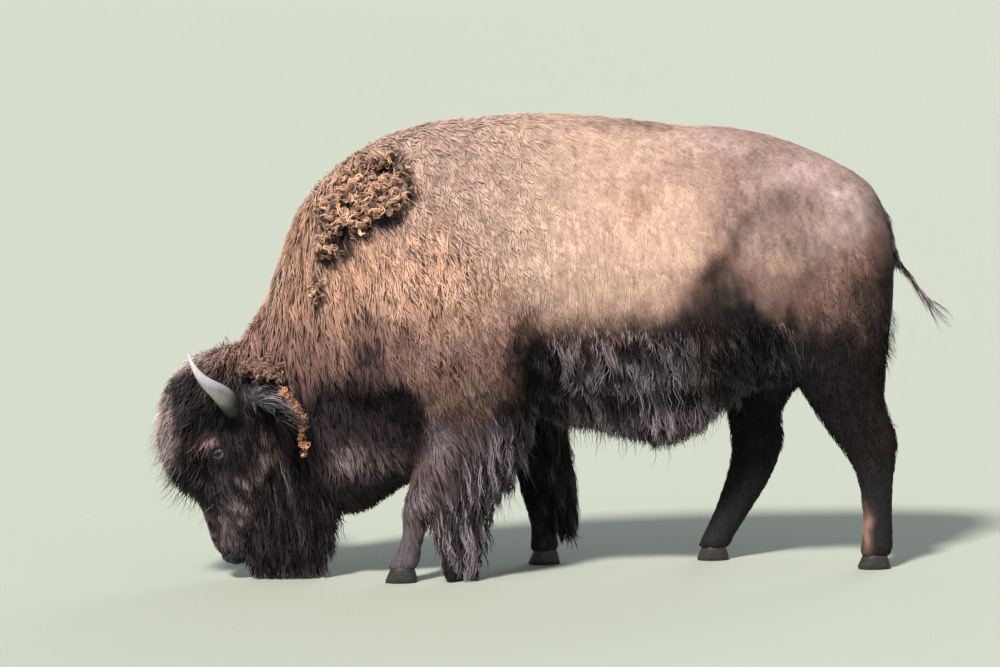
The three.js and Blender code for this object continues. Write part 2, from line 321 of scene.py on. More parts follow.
SMOOTH_ROUNDS = 18
write_points(skin_mesh, smooth_evenly(read_points(skin_mesh), averager(skin_mesh), SMOOTH_ROUNDS))


# %% Divide the face more finely
def divide_near(mesh, is_near):
    fine = bmesh.new()
    fine.from_mesh(mesh)
    near = is_near(np.array([v.co for v in fine.verts]))
    edges = [e for e in fine.edges if near[e.verts[0].index] and near[e.verts[1].index]]
    bmesh.ops.subdivide_edges(fine, edges=edges, cuts=1, use_grid_fill=True, smooth=0.3)
    bmesh.ops.triangulate(fine, faces=[f for f in fine.faces if len(f.verts) > 4])
    pour(fine, mesh)


def face_places(points):
    """Places as distances down the face, to the animal's left and out of the forehead."""
    offset = points - between_eyes
    return offset @ down_face, offset @ to_left, offset @ out_of_face


muzzle_middle = middle("muzzle")


def in_face(points):
    down, _, _ = face_places(points)
    return (points[:, 0] < muzzle_middle[0] + 0.12) & (down > -0.12) & (points[:, 2] < 0.62)


def by_eye_or_nose(points):
    near_eye = np.min([np.linalg.norm(points - eyes[side], axis=1) for side in SIDES], axis=0)
    return (near_eye < 0.075) | (np.linalg.norm(points - muzzle_middle, axis=1) < 0.13)


divide_near(skin_mesh, in_face)
divide_near(skin_mesh, by_eye_or_nose)
average = averager(skin_mesh)
print("with the face divided,", len(skin_mesh.vertices), "points")

# %% [markdown]
# ## The coat's plan
# Each part of the body wears its own coat: how deep it is, how many tufts grow on a square metre,
# how long and wide they are, how much they crinkle and gather into locks, how far they hang and
# which way they lie. The plan is a table with one row for each part. The values are spread over
# the skin and then averaged between neighbours, so one kind of coat passes softly into the next,
# as it does on the animal.

# %% Write the plan
BACKWARD_DOWN = (0.45, 0.0, -1.0)
DOWN = (0.1, 0.0, -1.0)
COAT = {
    # depth, tufts per m2, length, half width, crinkle, gather, hang, direction
    "head": (0.017, 17500, 0.042, 0.0016, 0.7, 0.55, 0.1, (0.15, 0, -1)),
    "muzzle": (0.011, 21000, 0.028, 0.0012, 0.3, 0.4, 0.1, (0.1, 0, -1)),
    "ear": (0.016, 26000, 0.125, 0.0013, 0.5, 0.4, 1.0, (1.0, 0, 0.05)),
    "neck": (0.030, 15000, 0.085, 0.0022, 0.8, 0.6, 0.3, (0.25, 0, -1)),
    "forequarters": (0.018, 15800, 0.048, 0.0019, 0.9, 0.45, 0.05, BACKWARD_DOWN),
    "barrel": (0.012, 31000, 0.036, 0.0015, 0.2, 0.35, 0.0, (0.12, 0, -1)),
    "hindquarters": (0.007, 38000, 0.022, 0.0013, 0.1, 0.25, 0.0, BACKWARD_DOWN),
    "tail_tuft": (0.022, 24000, 0.120, 0.0016, 0.5, 0.5, 0.5, (0.6, 0, -0.8)),
    "tail": (0.012, 24000, 0.060, 0.0015, 0.2, 0.3, 0.4, (0.5, 0, -1)),
    "foreleg": (0.012, 19000, 0.042, 0.0017, 0.3, 0.4, 0.1, (0.45, 0, -1)),
    "cannon_fore": (0.006, 18000, 0.022, 0.0014, 0.1, 0.3, 0.1, DOWN),
    "thigh": (0.014, 15000, 0.036, 0.0019, 1.0, 0.5, 0.2, (0.25, 0, -1)),
    "cannon_hind": (0.005, 18000, 0.018, 0.0013, 0.1, 0.2, 0.1, DOWN),
    "forelock": (0.042, 16500, 0.075, 0.0018, 1.4, 0.5, 0.6, (-0.7, 0, -0.8)),
    "beard": (0.045, 12000, 0.140, 0.0022, 0.8, 0.75, 0.8, DOWN),
    "chaps": (0.034, 10500, 0.165, 0.0028, 1.0, 0.85, 0.8, (0.12, 0, -1)),
    "belly_fringe": (0.036, 10200, 0.085, 0.0021, 1.4, 0.7, 0.6, (0.15, 0, -1)),
}
DEPTH, DENSITY, LENGTH, WIDTH, CRINKLE, GATHER, HANG = range(7)
FLOW = slice(7, 10)
parts = list(COAT)
print("the coat has", len(parts), "kinds; the deepest is", max(row[DEPTH] for row in COAT.values()), "m")


# %% Find the part that each place belongs to
def part_of(node):
    return next(parts.index(part) for part in parts if node == part or node.startswith(part + "_"))


def nearest_of(places, points):
    """Which of the places lies nearest to each point."""
    tree = KDTree(len(places))
    for i, place in enumerate(places):
        tree.insert(place, i)
    tree.balance()
    return [tree.find(point)[1] for point in points]


def nearest_parts(points):
    """The part of the body whose solid lies nearest to each point."""
    places, owners = [], []
    for node in FLESH + LONG_HAIR:
        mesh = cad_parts[node].data
        centres = np.empty(len(mesh.polygons) * 3)
        mesh.polygons.foreach_get("center", centres)
        verts = read_points(mesh)
        found = np.vstack([verts, verts[edge_ends(mesh)].mean(axis=1), centres.reshape(-1, 3)])
        places.append(found)
        owners += [part_of(node)] * len(found)
    return np.array(owners)[nearest_of(np.vstack(places), points)]


# %% Spread the plan over the skin
def soft_step(value, low, high):
    t = np.clip((value - low) / (high - low), 0, 1)
    return t * t * (3 - 2 * t)


BLEND_ROUNDS = 26
TRUNK = {"neck": 0.50, "forequarters": 1.00, "barrel": 1.75, "hindquarters": 2.35}
on_trunk = np.array([part in TRUNK for part in parts], dtype=float)  # above, how far back each lies


def spread(values, rounds):
    for _ in range(rounds):
        values = 0.2 * values + 0.8 * average(values)
    return values


outer_points = read_points(skin_mesh)
skin_part = nearest_parts(outer_points)
plan_rows = np.array([[*row[:7], *unit(np.array(row[7], float))] for row in COAT.values()])
plan = spread(plan_rows[skin_part], BLEND_ROUNDS)
trunk_share = spread(on_trunk[skin_part], BLEND_ROUNDS) ** 2
behind = outer_points[:, 0] - front
trunk_rows = plan_rows[[parts.index(part) for part in TRUNK]]
trunk_plan = np.stack([np.interp(behind, list(TRUNK.values()), row) for row in trunk_rows.T], axis=1)
plan += (trunk_plan - plan) * trunk_share[:, None]
shaggy = (soft_step(-outer_points[:, 2], -0.94, -0.84) * soft_step(behind, 1.30, 1.46)
          * soft_step(-behind, -2.42, -2.28)
          * np.isin(skin_part, [part_of(node) for node in ("barrel", "belly_fringe", "hindquarters")]))
shaggy = spread(shaggy, 6)
plan += (plan_rows[part_of("belly_fringe")] - plan) * shaggy[:, None]
print({part: int((skin_part == i).sum()) for i, part in enumerate(parts)})

# %% [markdown]
# ## Sinking and sculpting the skin
# The frame's surface is where the tips of the hair end, so the skin is sunk under it by the coat's
# depth. Where the skin is bare, round the eyes, it stays at the surface. Then the
# forms that show through a short coat are pressed in or raised: the brow, the hollows of the eyes,
# the nostrils and the mouth, the hip bone and the fold in front of the thigh. They could be painted
# by hand with a sculpting brush, but a press along the skin's own normals gives the same result
# every time the lesson is run.

# %% Sink the skin under the coat
def faces_of(mesh):
    return [tuple(polygon.vertices) for polygon in mesh.polygons]


# how far the curled tips stand out past the frame's surface, on the trunk and on the legs
SWELL = {"neck": 0.022, "forequarters": 0.014, "forelock": 0.020, "head": 0.012, "hindquarters": 0.006}
LEG_SWELL = {"foreleg": 0.009, "cannon_fore": 0.006, "chaps": 0.010, "thigh": 0.012, "cannon_hind": 0.009}
MOST_SWELL = 0.022
swell = spread(np.array([SWELL.get(part, 0.0) for part in parts])[skin_part], 16)
swell *= soft_step(-behind, -1.30, -0.90) + soft_step(behind, 1.9, 2.1)
swell *= soft_step(outer_points[:, 2], 0.60, 0.80) + (behind < 0.40) + (behind > 1.9)
leg_swell = spread(np.array([LEG_SWELL.get(part, 0.0) for part in parts])[skin_part], 6)
swell = np.maximum(swell, leg_swell)
tip_points = outer_points + read_normals(skin_mesh) * np.clip(swell, 0, MOST_SWELL)[:, None]
coat_surface = BVHTree.FromPolygons([tuple(p) for p in tip_points], faces_of(skin_mesh))


def soft_ball(points, centre, radius):
    """1 at the centre, fading to 0 at the radius, which may differ along X, Y and Z."""
    return 1 - soft_step(np.linalg.norm((points - centre) / radius, axis=1), 0.0, 1.0)


BARE_ROUND_EYE = 0.085
bare = np.max([soft_ball(outer_points, eyes[side], BARE_ROUND_EYE) for side in SIDES], axis=0)
bare = np.clip(1.6 * bare, 0, 1)
depth = plan[:, DEPTH] * (1 - bare) * soft_step(outer_points[:, 2], 0.045, 0.1)
points = tip_points + (outer_points - tip_points) * bare[:, None] - read_normals(skin_mesh) * depth[:, None]
for _ in range(3):
    points = points + 0.5 * (average(points) - points)
for _ in range(24):  # the wool of the underside hides the step to the belly
    points = points + 0.6 * shaggy[:, None] * (average(points) - points)


# %% Sculpt the face
def face_point(down, left, out):
    return between_eyes + down * down_face + left * to_left + out * out_of_face


def press(points, normals, centre, radius, amount):
    """Moves the skin along its own normals, outwards where the amount is above 0."""
    return points + normals * (amount * soft_ball(points, centre, radius))[:, None]


write_points(skin_mesh, points)
normals = read_normals(skin_mesh)
eye_out = abs(face_places(eyes["left"][None])[1][0])
nose_down = face_places(muzzle_middle[None])[0][0]
eye_frames = {}
for side, sign in SIDES.items():
    out = -sign  # the animal's left is positive across the face
    gaze = unit(out * to_left + 0.16 * out_of_face)
    slit = unit(np.cross(np.cross(gaze, out_of_face + 0.35 * down_face), gaze))
    upper = np.cross(gaze, slit)
    upper *= -np.sign(upper @ down_face)
    eye_frames[side] = (eyes[side], gaze, slit, upper)
    above = eyes[side] + upper * 0.045
    for centre, radius, amount in (
            (above + slit * 0.03, 0.060, 0.018),  # the brow
            (above - slit * 0.02, 0.050, 0.008),
            (eyes[side] - upper * 0.045 + slit * 0.01, 0.050, -0.008),  # the hollow under the eye
            (eyes[side] + gaze * 0.02, 0.034, -0.018),  # the socket
            (face_point(0.10, out * (eye_out - 0.01), -0.03), 0.080, 0.008),  # the cheek bone
            (face_point(nose_down + 0.005, out * 0.052, 0.055), 0.032, 0.008),  # the nostril's wing
            (face_point(nose_down + 0.020, out * 0.058, 0.060), 0.017, -0.022),  # the nostril
            (face_point(nose_down + 0.032, out * 0.066, 0.045), 0.014, -0.012)):
        points = press(points, normals, centre, radius, amount)
down, left, out = face_places(points)
lip_line = nose_down + 0.075 - 0.35 * np.clip(0.03 - out, 0, 0.2)
in_mouth = (np.exp(-((down - lip_line) / 0.006) ** 2) * soft_step(out, -0.10, -0.03)
            * soft_step(down, nose_down - 0.02, nose_down + 0.02))
points = points - normals * (0.009 * in_mouth)[:, None]
write_points(skin_mesh, points)
normals = read_normals(skin_mesh)
print("eyes", round(2 * eye_out, 3), "m apart; nose", round(nose_down, 3), "m below them")


# %% Sculpt the body
def on_side(behind, up, side=None, shift=0.35):
    """A place behind the foremost point and above the floor, in the middle or out to one side."""
    return np.array([front + behind, mid_y + (SIDES[side] * shift if side else 0.0), up])


def press_line(points, normals, stops, width, amount):
    """Presses a soft groove, or raises a ridge, along a line through places on one side."""
    nearest = np.full(len(points), 9.0)
    for start, end in zip(stops[:-1], stops[1:]):
        line = end - start
        share = np.clip((points - start) @ line / (line @ line), 0, 1)
        offset = (points - start - share[:, None] * line) * [1, 0.3, 1]
        nearest = np.minimum(nearest, np.linalg.norm(offset, axis=1))
    near = 1 - soft_step(nearest, 0, width)
    near *= np.sign(points[:, 1] - mid_y) == np.sign(stops[0][1] - mid_y)
    return points + normals * (amount * near)[:, None]


FOLDS = [  # stops behind the front and up, width, how far the line is raised
    ([(2.15, 1.42), (2.08, 1.24)], 0.050, -0.016),  # the hollow before the hip
    ([(2.18, 1.28), (2.15, 1.19), (2.05, 1.08), (2.02, 0.92)], 0.080, -0.030),  # the flank
    ([(2.31, 1.22), (2.24, 1.09), (2.25, 0.92)], 0.065, 0.016),  # the front edge of the thigh
    ([(2.13, 1.06), (2.11, 0.90)], 0.040, 0.010),  # the web of skin before it
    ([(2.10, 0.95), (1.95, 0.80)], 0.060, -0.012),
    ([(0.98, 1.02), (0.92, 0.72), (1.00, 0.52)], 0.090, -0.018),  # before the shoulder and arm
    ([(1.36, 0.95), (1.38, 0.72)], 0.080, -0.026),  # behind the elbow
]
for side in SIDES:
    hip, pin_bone = on_side(2.27, 1.40, side, 0.22), on_side(2.53, 1.33, side, 0.16)
    points = press(points, normals, hip, 0.13, 0.016)
    points = press(points, normals, pin_bone, 0.12, 0.012)
    points = press_line(points, normals, [hip, pin_bone], 0.06, 0.006)
    for stops, width, amount in FOLDS:
        points = press_line(points, normals, [on_side(*stop, side) for stop in stops], width, amount)
    points = press(points, normals, on_side(1.16, 0.86, side), 0.20, 0.008)  # the arm's muscle
write_points(skin_mesh, points)
make_smooth(skin_mesh)
print("skin sunk by up to", round(float(depth.max()), 3), "m and pressed along", len(FOLDS), "folds")

# %% [markdown]
# ## Unwrapping the skin
# The skin's own shape is unwrapped once. Every tuft later gets a tiny patch of the same map, at
# the place of its root, so a painted or baked picture would colour skin and coat alike.

# %% Unwrap
def unwrap(piece):
    """Opens the piece's own shape out flat, as the map OFBake."""
    piece.data.uv_layers.new(name="OFBake")
    for other in bpy.context.selected_objects:
        other.select_set(False)
    bpy.context.view_layer.objects.active = piece
    piece.select_set(True)
    bpy.ops.object.mode_set(mode="EDIT")
    bpy.ops.mesh.select_all(action="SELECT")
    bpy.ops.uv.smart_project(angle_limit=math.radians(66), island_margin=0.002)
    bpy.ops.object.mode_set(mode="OBJECT")
    return piece.data


skin_mesh = unwrap(skin)
skin_points = read_points(skin_mesh)
print("skin unwrapped;", len(skin_points), "points")

# %% [markdown]
# ## Markings
# Skin and coat carry the same markings: a mid-brown hump, a pale golden flank, a sleek brown rump,
# and black-brown head, belly and legs. A line runs along the body under which the coat turns
# black. One function gives the colour for any place on the body, so the skin and every tuft ask
# the same question, which a picture wrapped round the skin could not answer for the tips of long
# hair. A slow ripple moves the places a little, so that no border is a clean line.
# Some spots and the partings between locks are painted shade, shadow, sheen and rim light.

# %% Name the coat's colours
GOLD = np.array([0.57, 0.375, 0.285])
HUMP = np.array([0.40, 0.265, 0.215])
SHOULDER = np.array([0.50, 0.285, 0.195])
BACK = np.array([0.35, 0.215, 0.180])
RUMP = np.array([0.31, 0.205, 0.170])
NAPE = np.array([0.21, 0.115, 0.080])
RUST = np.array([0.15, 0.082, 0.068])
TAN = np.array([0.47, 0.265, 0.175])
UMBER = np.array([0.085, 0.055, 0.045])
# grey-lilac of dark hair: partly its grey hairs, partly painted sheen of the sky on black hair
GREY = np.array([0.240, 0.190, 0.215])
UNDERSIDE = np.array([0.055, 0.041, 0.045])
BLACK_BROWN = np.array([0.030, 0.022, 0.024])
BLACK = np.array([0.006, 0.005, 0.0055])


def ripple(points, wavelength, seed):
    """Smooth noise between about -1 and 1, from a few crossing waves."""
    waves = np.random.default_rng(seed)
    total = np.zeros(len(points))
    for _ in range(7):
        direction = unit(waves.normal(size=3)) * 2 * np.pi / (wavelength * waves.uniform(0.6, 1.6))
        total += np.sin(points @ direction + waves.uniform(0, 2 * np.pi))
    return total / 3.2


def mix(a, b, share):
    return a + (b - a) * np.reshape(share, (-1, 1))


def between_stops(values, stops):
    """Rows of numbers between named places."""
    places = [stop[0] for stop in stops]
    rows = np.array([np.atleast_1d(stop[1]) for stop in stops])
    return np.stack([np.interp(values, places, column) for column in rows.T], axis=1)


THROUGH = 9.0  # a spot that reaches through the whole body marks both its sides


def spot(points, behind, up, across, high, side=None):
    """1 in the middle of a spot on the body's side, or on both sides, and 0 past its edge."""
    near = soft_ball(points, on_side(behind, up, side), (across, THROUGH, high))
    return near * ((points[:, 1] - mid_y) * SIDES[side] > 0) if side else near


# %% Part the coat into locks
PARTED = {"neck": 0.80, "forequarters": 0.30, "barrel": 0.12, "foreleg": 0.8, "thigh": 0.3,
          "beard": 0.9, "chaps": 1.0, "belly_fringe": 0.9, "forelock": 0.6, "head": 0.6,
          "ear": 0.7, "hindquarters": 0.08, "cannon_fore": 0.4}
parted_rows = np.array([PARTED.get(part, 0.0) for part in parts])
PARTED_SPOTS = [  # behind the front, height, radius, strength
    (1.05, 1.10, 0.42, 1.3), (0.75, 1.00, 0.36, 1.0), (1.10, 0.80, 0.28, 1.0),
    (1.65, 0.88, 0.22, 0.7), (2.45, 0.98, 0.22, 0.5),
]
CORD = 0.025  # from one lock to the next


def cord_of(points):
    """Counts the locks that a place lies across; every whole number is a parting between two."""
    across = (points[:, 0] + 0.28 * points[:, 2] + 0.8 * np.abs(points[:, 1] - mid_y)) / CORD
    return across + 0.55 * ripple(points, 0.22, 11) + 0.22 * ripple(points, 0.08, 12)


def partings(points, shares):
    """How deep the partings between locks are, for their painted shade and their lower coat: 0 on a lock,
    up to 1 in a parting.
    """
    hollow = soft_step(np.cos(2 * np.pi * cord_of(points)), -0.35, 0.85)
    hollow *= soft_step(ripple(points, 0.11, 13), -1.1, 0.0)
    strength = shares @ parted_rows
    for behind, up, radius, extra in PARTED_SPOTS:
        strength = np.maximum(strength, extra * spot(points, behind, up, radius, radius))
    return hollow * strength


# %% Lay out the markings
PART_SHADE = {
    "head": BLACK_BROWN * 0.6, "muzzle": BLACK_BROWN * 1.2, "ear": (0.048, 0.046, 0.052),
    "forelock": BLACK_BROWN * 0.5, "beard": BLACK_BROWN * 0.5,
    "foreleg": (0.110, 0.078, 0.076), "cannon_fore": GREY * 0.45,
    "cannon_hind": BLACK * 1.5, "chaps": GREY * 0.18, "belly_fringe": UNDERSIDE * 0.8,
    "tail": BLACK, "tail_tuft": GREY * 0.7,
}
UNDER_STOPS = [(0.30, BLACK_BROWN), (1.28, BLACK_BROWN), (1.34, BLACK), (1.44, BLACK),
               (1.52, UNDERSIDE * 0.7), (1.92, UNDERSIDE * 0.7), (2.04, UMBER * 0.25),
               (2.16, BLACK * 1.6), (2.34, BLACK * 2), (2.90, UMBER * 0.2)]
TRUNK_STOPS = [  # distance behind the foremost point
    (0.30, NAPE), (0.44, NAPE * 1.5), (0.54, SHOULDER * 0.72), (0.72, SHOULDER * 0.78), (0.95, HUMP),
    (1.25, HUMP * 1.05), (1.65, GOLD * 0.97), (1.95, GOLD), (2.10, BACK), (2.22, RUMP),
    (2.55, RUMP * 0.95), (2.75, UMBER),
]
wears_trunk_colours = np.maximum(on_trunk, np.array(parts) == "thigh")
BLACK_LINE = [  # from the front; the height of the black, its softness, the height of the brown
    (0.30, (0.84, 0.06, 0.96)), (0.48, (0.80, 0.09, 0.97)), (0.65, (0.79, 0.11, 0.96)),
    (0.78, (0.82, 0.13, 1.00)), (0.90, (0.76, 0.11, 0.96)), (1.00, (0.62, 0.08, 0.94)),
    (1.22, (0.58, 0.07, 0.94)), (1.30, (0.86, 0.10, 0.98)), (1.40, (0.93, 0.09, 1.01)),
    (1.65, (0.87, 0.08, 0.97)), (1.90, (0.94, 0.06, 1.02)), (1.99, (1.03, 0.08, 1.13)),
    (2.06, (1.11, 0.11, 1.22)), (2.12, (1.09, 0.10, 1.22)), (2.18, (1.03, 0.07, 1.14)),
    (2.24, (0.97, 0.06, 1.06)), (2.30, (0.91, 0.06, 1.03)), (2.36, (0.94, 0.09, 1.10)),
    (2.48, (0.94, 0.12, 1.14)), (2.57, (1.02, 0.12, 1.20)), (2.64, (1.14, 0.11, 1.26)),
    (2.90, (1.22, 0.10, 1.34)),
]
CURLY_THIGH = (2.42, 1.05, 0.24, 0.20)
WANDER = 0.018  # how far the borders stray
MOTTLE = 0.45
# painted shade: how much darker the coat is painted in the partings between locks
PARTING_SHADE = 0.88

# %% Lay out the spots
SPOTS = [  # behind the front, height, half width, half height, colour, strength, side if only one
    # painted highlight: the top of the hump is lighter where the light from above falls
    (1.30, 1.72, 0.75, 0.16, HUMP * 1.25, 0.7),
    (1.55, 1.25, 0.30, 0.30, GOLD * 1.05, 0.6),
    (1.85, 1.20, 0.30, 0.30, GOLD * 1.12, 0.8),
    (1.78, 1.39, 0.09, 0.11, (0.36, 0.20, 0.12), 0.6),
    (1.97, 1.49, 0.25, 0.10, BACK, 0.6),
    (1.80, 1.66, 0.34, 0.06, UMBER * 2.0, 0.75),
    (1.00, 1.12, 0.34, 0.34, SHOULDER * 1.1, 0.9),
    (0.72, 1.10, 0.20, 0.34, SHOULDER * 0.85, 0.8),
    (1.25, 1.05, 0.20, 0.16, SHOULDER * 0.8, 0.6),
    (1.15, 0.84, 0.12, 0.08, UMBER, 0.7),
    # painted shade: black-brown in the fold behind the elbow
    (1.36, 0.84, 0.10, 0.14, BLACK_BROWN, 0.9),
    (0.91, 0.89, 0.10, 0.10, UMBER * 0.8, 0.8),
    (0.98, 0.98, 0.30, 0.10, SHOULDER * 0.55, 0.6),
    (0.70, 0.90, 0.18, 0.10, SHOULDER * 0.40, 0.7),
    (0.62, 0.98, 0.10, 0.10, UMBER * 1.2, 0.5),
    (0.62, 1.20, 0.08, 0.40, HUMP * 0.8, 0.5),
    (0.85, 0.65, 0.16, 0.16, BLACK_BROWN, 0.8),
    # painted shade: black-brown in the fold behind the elbow
    (1.40, 0.84, 0.11, 0.14, BLACK_BROWN, 0.7),
    # painted shade: dark brown down the crease in front of the hip and thigh
    (2.13, 1.21, 0.05, 0.13, UMBER * 1.2, 0.9),
    (2.19, 1.30, 0.04, 0.12, UMBER * 1.3, 0.6),
    (2.10, 1.12, 0.09, 0.08, UMBER * 0.8, 0.8),
    (2.29, 1.33, 0.09, 0.13, RUMP * 0.65, 0.6),
    (2.19, 1.05, 0.06, 0.12, RUMP * 0.8, 0.6),
    (2.38, 1.46, 0.26, 0.10, (0.47, 0.33, 0.30), 0.8),
    (2.05, 1.58, 0.30, 0.07, (0.47, 0.33, 0.29), 0.8),
    # painted sheen: a broad pale pinkish highlight on the upper rear of the rump
    (2.55, 1.38, 0.15, 0.10, (0.47, 0.345, 0.320), 0.7),
    (2.50, 1.27, 0.13, 0.10, (0.44, 0.31, 0.28), 0.8),
    (2.62, 1.26, 0.09, 0.17, (0.46, 0.345, 0.325), 0.8),
    (2.30, 1.12, 0.09, 0.10, (0.44, 0.27, 0.20), 0.9),
    (2.06, 1.19, 0.05, 0.08, (0.44, 0.27, 0.21), 0.7),
    (0.45, 1.12, 0.07, 0.28, HUMP * 1.35, 0.8),
    (0.62, 1.47, 0.14, 0.12, HUMP * 1.35, 0.7),
    (0.79, 0.97, 0.08, 0.08, UMBER, 0.9),
    (1.12, 0.98, 0.10, 0.07, SHOULDER * 0.55, 0.7),
    (1.27, 0.89, 0.07, 0.07, RUST, 0.9),
    (1.19, 0.94, 0.12, 0.09, SHOULDER * 0.6, 0.8),
    (1.63, 0.90, 0.10, 0.07, BACK * 0.75, 0.9),
    # painted highlight: a thin pale streak of sheen down the rump
    (2.53, 1.395, 0.060, 0.016, (0.58, 0.46, 0.44), 0.45),
    (2.575, 1.345, 0.026, 0.030, (0.58, 0.46, 0.44), 0.45),
    (2.615, 1.285, 0.016, 0.040, (0.58, 0.46, 0.44), 0.45),
    (2.62, 1.17, 0.05, 0.10, BLACK_BROWN, 0.7),
    (2.42, 1.02, 0.20, 0.12, UMBER * 1.7, 0.8),
    (2.66, 1.10, 0.12, 0.22, UMBER * 1.1, 0.7),
    # painted shadows, left side only: black under the shed nest's arc and beside its rim, black-brown below
    # the nest, dark under the ball and strand
    (0.80, 1.485, 0.06, 0.03, BLACK, 2.0, "left"),
    (0.89, 1.51, 0.10, 0.035, BLACK, 2.0, "left"),
    (0.955, 1.42, 0.035, 0.08, BLACK, 2.0, "left"),
    (0.84, 1.33, 0.15, 0.070, BLACK_BROWN, 1.9, "left"),
    (0.71, 1.26, 0.09, 0.08, BLACK_BROWN, 1.9, "left"),
    (0.65, 1.19, 0.06, 0.04, BLACK_BROWN, 1.3, "left"),
    (0.61, 1.09, 0.03, 0.06, UMBER * 0.6, 0.8, "left"),
]

# %% Lay out the spots over the borders and on head and legs
LATE_SPOTS = [  # the same values; they cover the head, the legs and both borders of the black
    # painted rim light: pale purple-grey along the front and the top edge of the mop
    (0.00, 0.60, 0.09, 0.26, (0.50, 0.37, 0.35), 1.1),
    (0.12, 0.84, 0.14, 0.09, (0.50, 0.38, 0.35), 1.0),
    (0.41, 0.49, 0.07, 0.12, (0.125, 0.090, 0.088), 0.8),
    (0.33, 0.38, 0.09, 0.10, (0.085, 0.062, 0.060), 0.9),
    (0.29, 0.25, 0.11, 0.12, (0.140, 0.108, 0.106), 0.8),
    # painted shadows: a thin band under the eye, and a band round the horn's base and under the ear
    (0.22, 0.43, 0.08, 0.04, BLACK, 1.0),
    (0.22, 0.65, 0.14, 0.08, BLACK, 1.6),
    (0.37, 0.61, 0.13, 0.07, BLACK, 1.7),
    (0.53, 0.47, 0.05, 0.20, BLACK, 1.5),
    (0.80, 0.85, 0.11, 0.12, BLACK_BROWN, 0.9),
    (0.70, 0.74, 0.10, 0.07, BLACK_BROWN * 0.5, 1.2),
    (0.91, 0.64, 0.10, 0.08, BLACK, 1.5),
    # painted shade: black in the fold behind the elbow
    (1.37, 0.84, 0.10, 0.13, BLACK, 0.9),
    # painted shade: a dark wedge in the fold in front of the thigh
    (2.115, 1.07, 0.06, 0.10, UMBER * 0.35, 1.1),
    (2.34, 0.94, 0.05, 0.08, UMBER * 0.4, 1.2),
    (0.86, 0.69, 0.26, 0.07, BLACK, 1.5),
    (0.94, 0.62, 0.05, 0.11, BLACK, 1.6),
    (0.76, 0.45, 0.20, 0.11, (0.185, 0.140, 0.140), 1.0),
    # painted shade: a black band in the gap behind the arm
    (1.43, 0.70, 0.06, 0.20, BLACK, 1.5),
    (1.30, 0.74, 0.08, 0.10, RUST, 1.0),
    (1.03, 0.55, 0.07, 0.17, (0.23, 0.180, 0.190), 0.9),
    (1.82, 0.73, 0.26, 0.09, GREY * 0.55, 0.8),
    # painted shade: black in the fold between belly and thigh
    (2.20, 0.92, 0.06, 0.14, BLACK, 1.9),
    (2.15, 0.78, 0.16, 0.13, BLACK, 1.9),
    (2.58, 0.93, 0.06, 0.14, UMBER * 1.1, 0.8),
    (2.64, 1.02, 0.10, 0.18, UMBER * 0.7, 0.7),
    (1.20, 0.70, 0.14, 0.09, (0.20, 0.135, 0.125), 0.9),
    (0.98, 0.30, 0.10, 0.08, GREY * 0.9, 0.7),
]
own_spots = [  # centre, radius, colour, strength
    (at("cannon_hind_left", 0.20, 0.25), (0.05, 0.30, 0.15), (0.26, 0.15, 0.11), 0.9),
    (at("forelock", 0.60, 1.0), (0.34, 0.40, 0.17), (0.26, 0.145, 0.12), 1.2),
]
own_spots += [(on_side(behind, up), (across, THROUGH, high), colour, strength)
              for behind, up, across, high, colour, strength in LATE_SPOTS]
own_spots.append((face_point(nose_down + 0.015, 0, 0.045), 0.085, (0.24, 0.14, 0.11), 1.1))
for side, sign in SIDES.items():
    brow = between_eyes - sign * to_left * 0.12 - down_face * 0.045 + out_of_face * 0.045
    # brown brow hair, lightened further by a painted highlight on the brow ridge
    own_spots.append((brow, 0.065, (0.30, 0.19, 0.17), 0.85))
    # painted shade: black in the hollow round the eye
    own_spots.append((eyes[side], 0.060, BLACK, 0.95))
for node in ("foreleg_right", "cannon_fore_right", "chaps_right"):  # the far leg stands in shade
    own_spots.append((middle(node), (0.30, 0.16, 0.45), BLACK, 1.9))


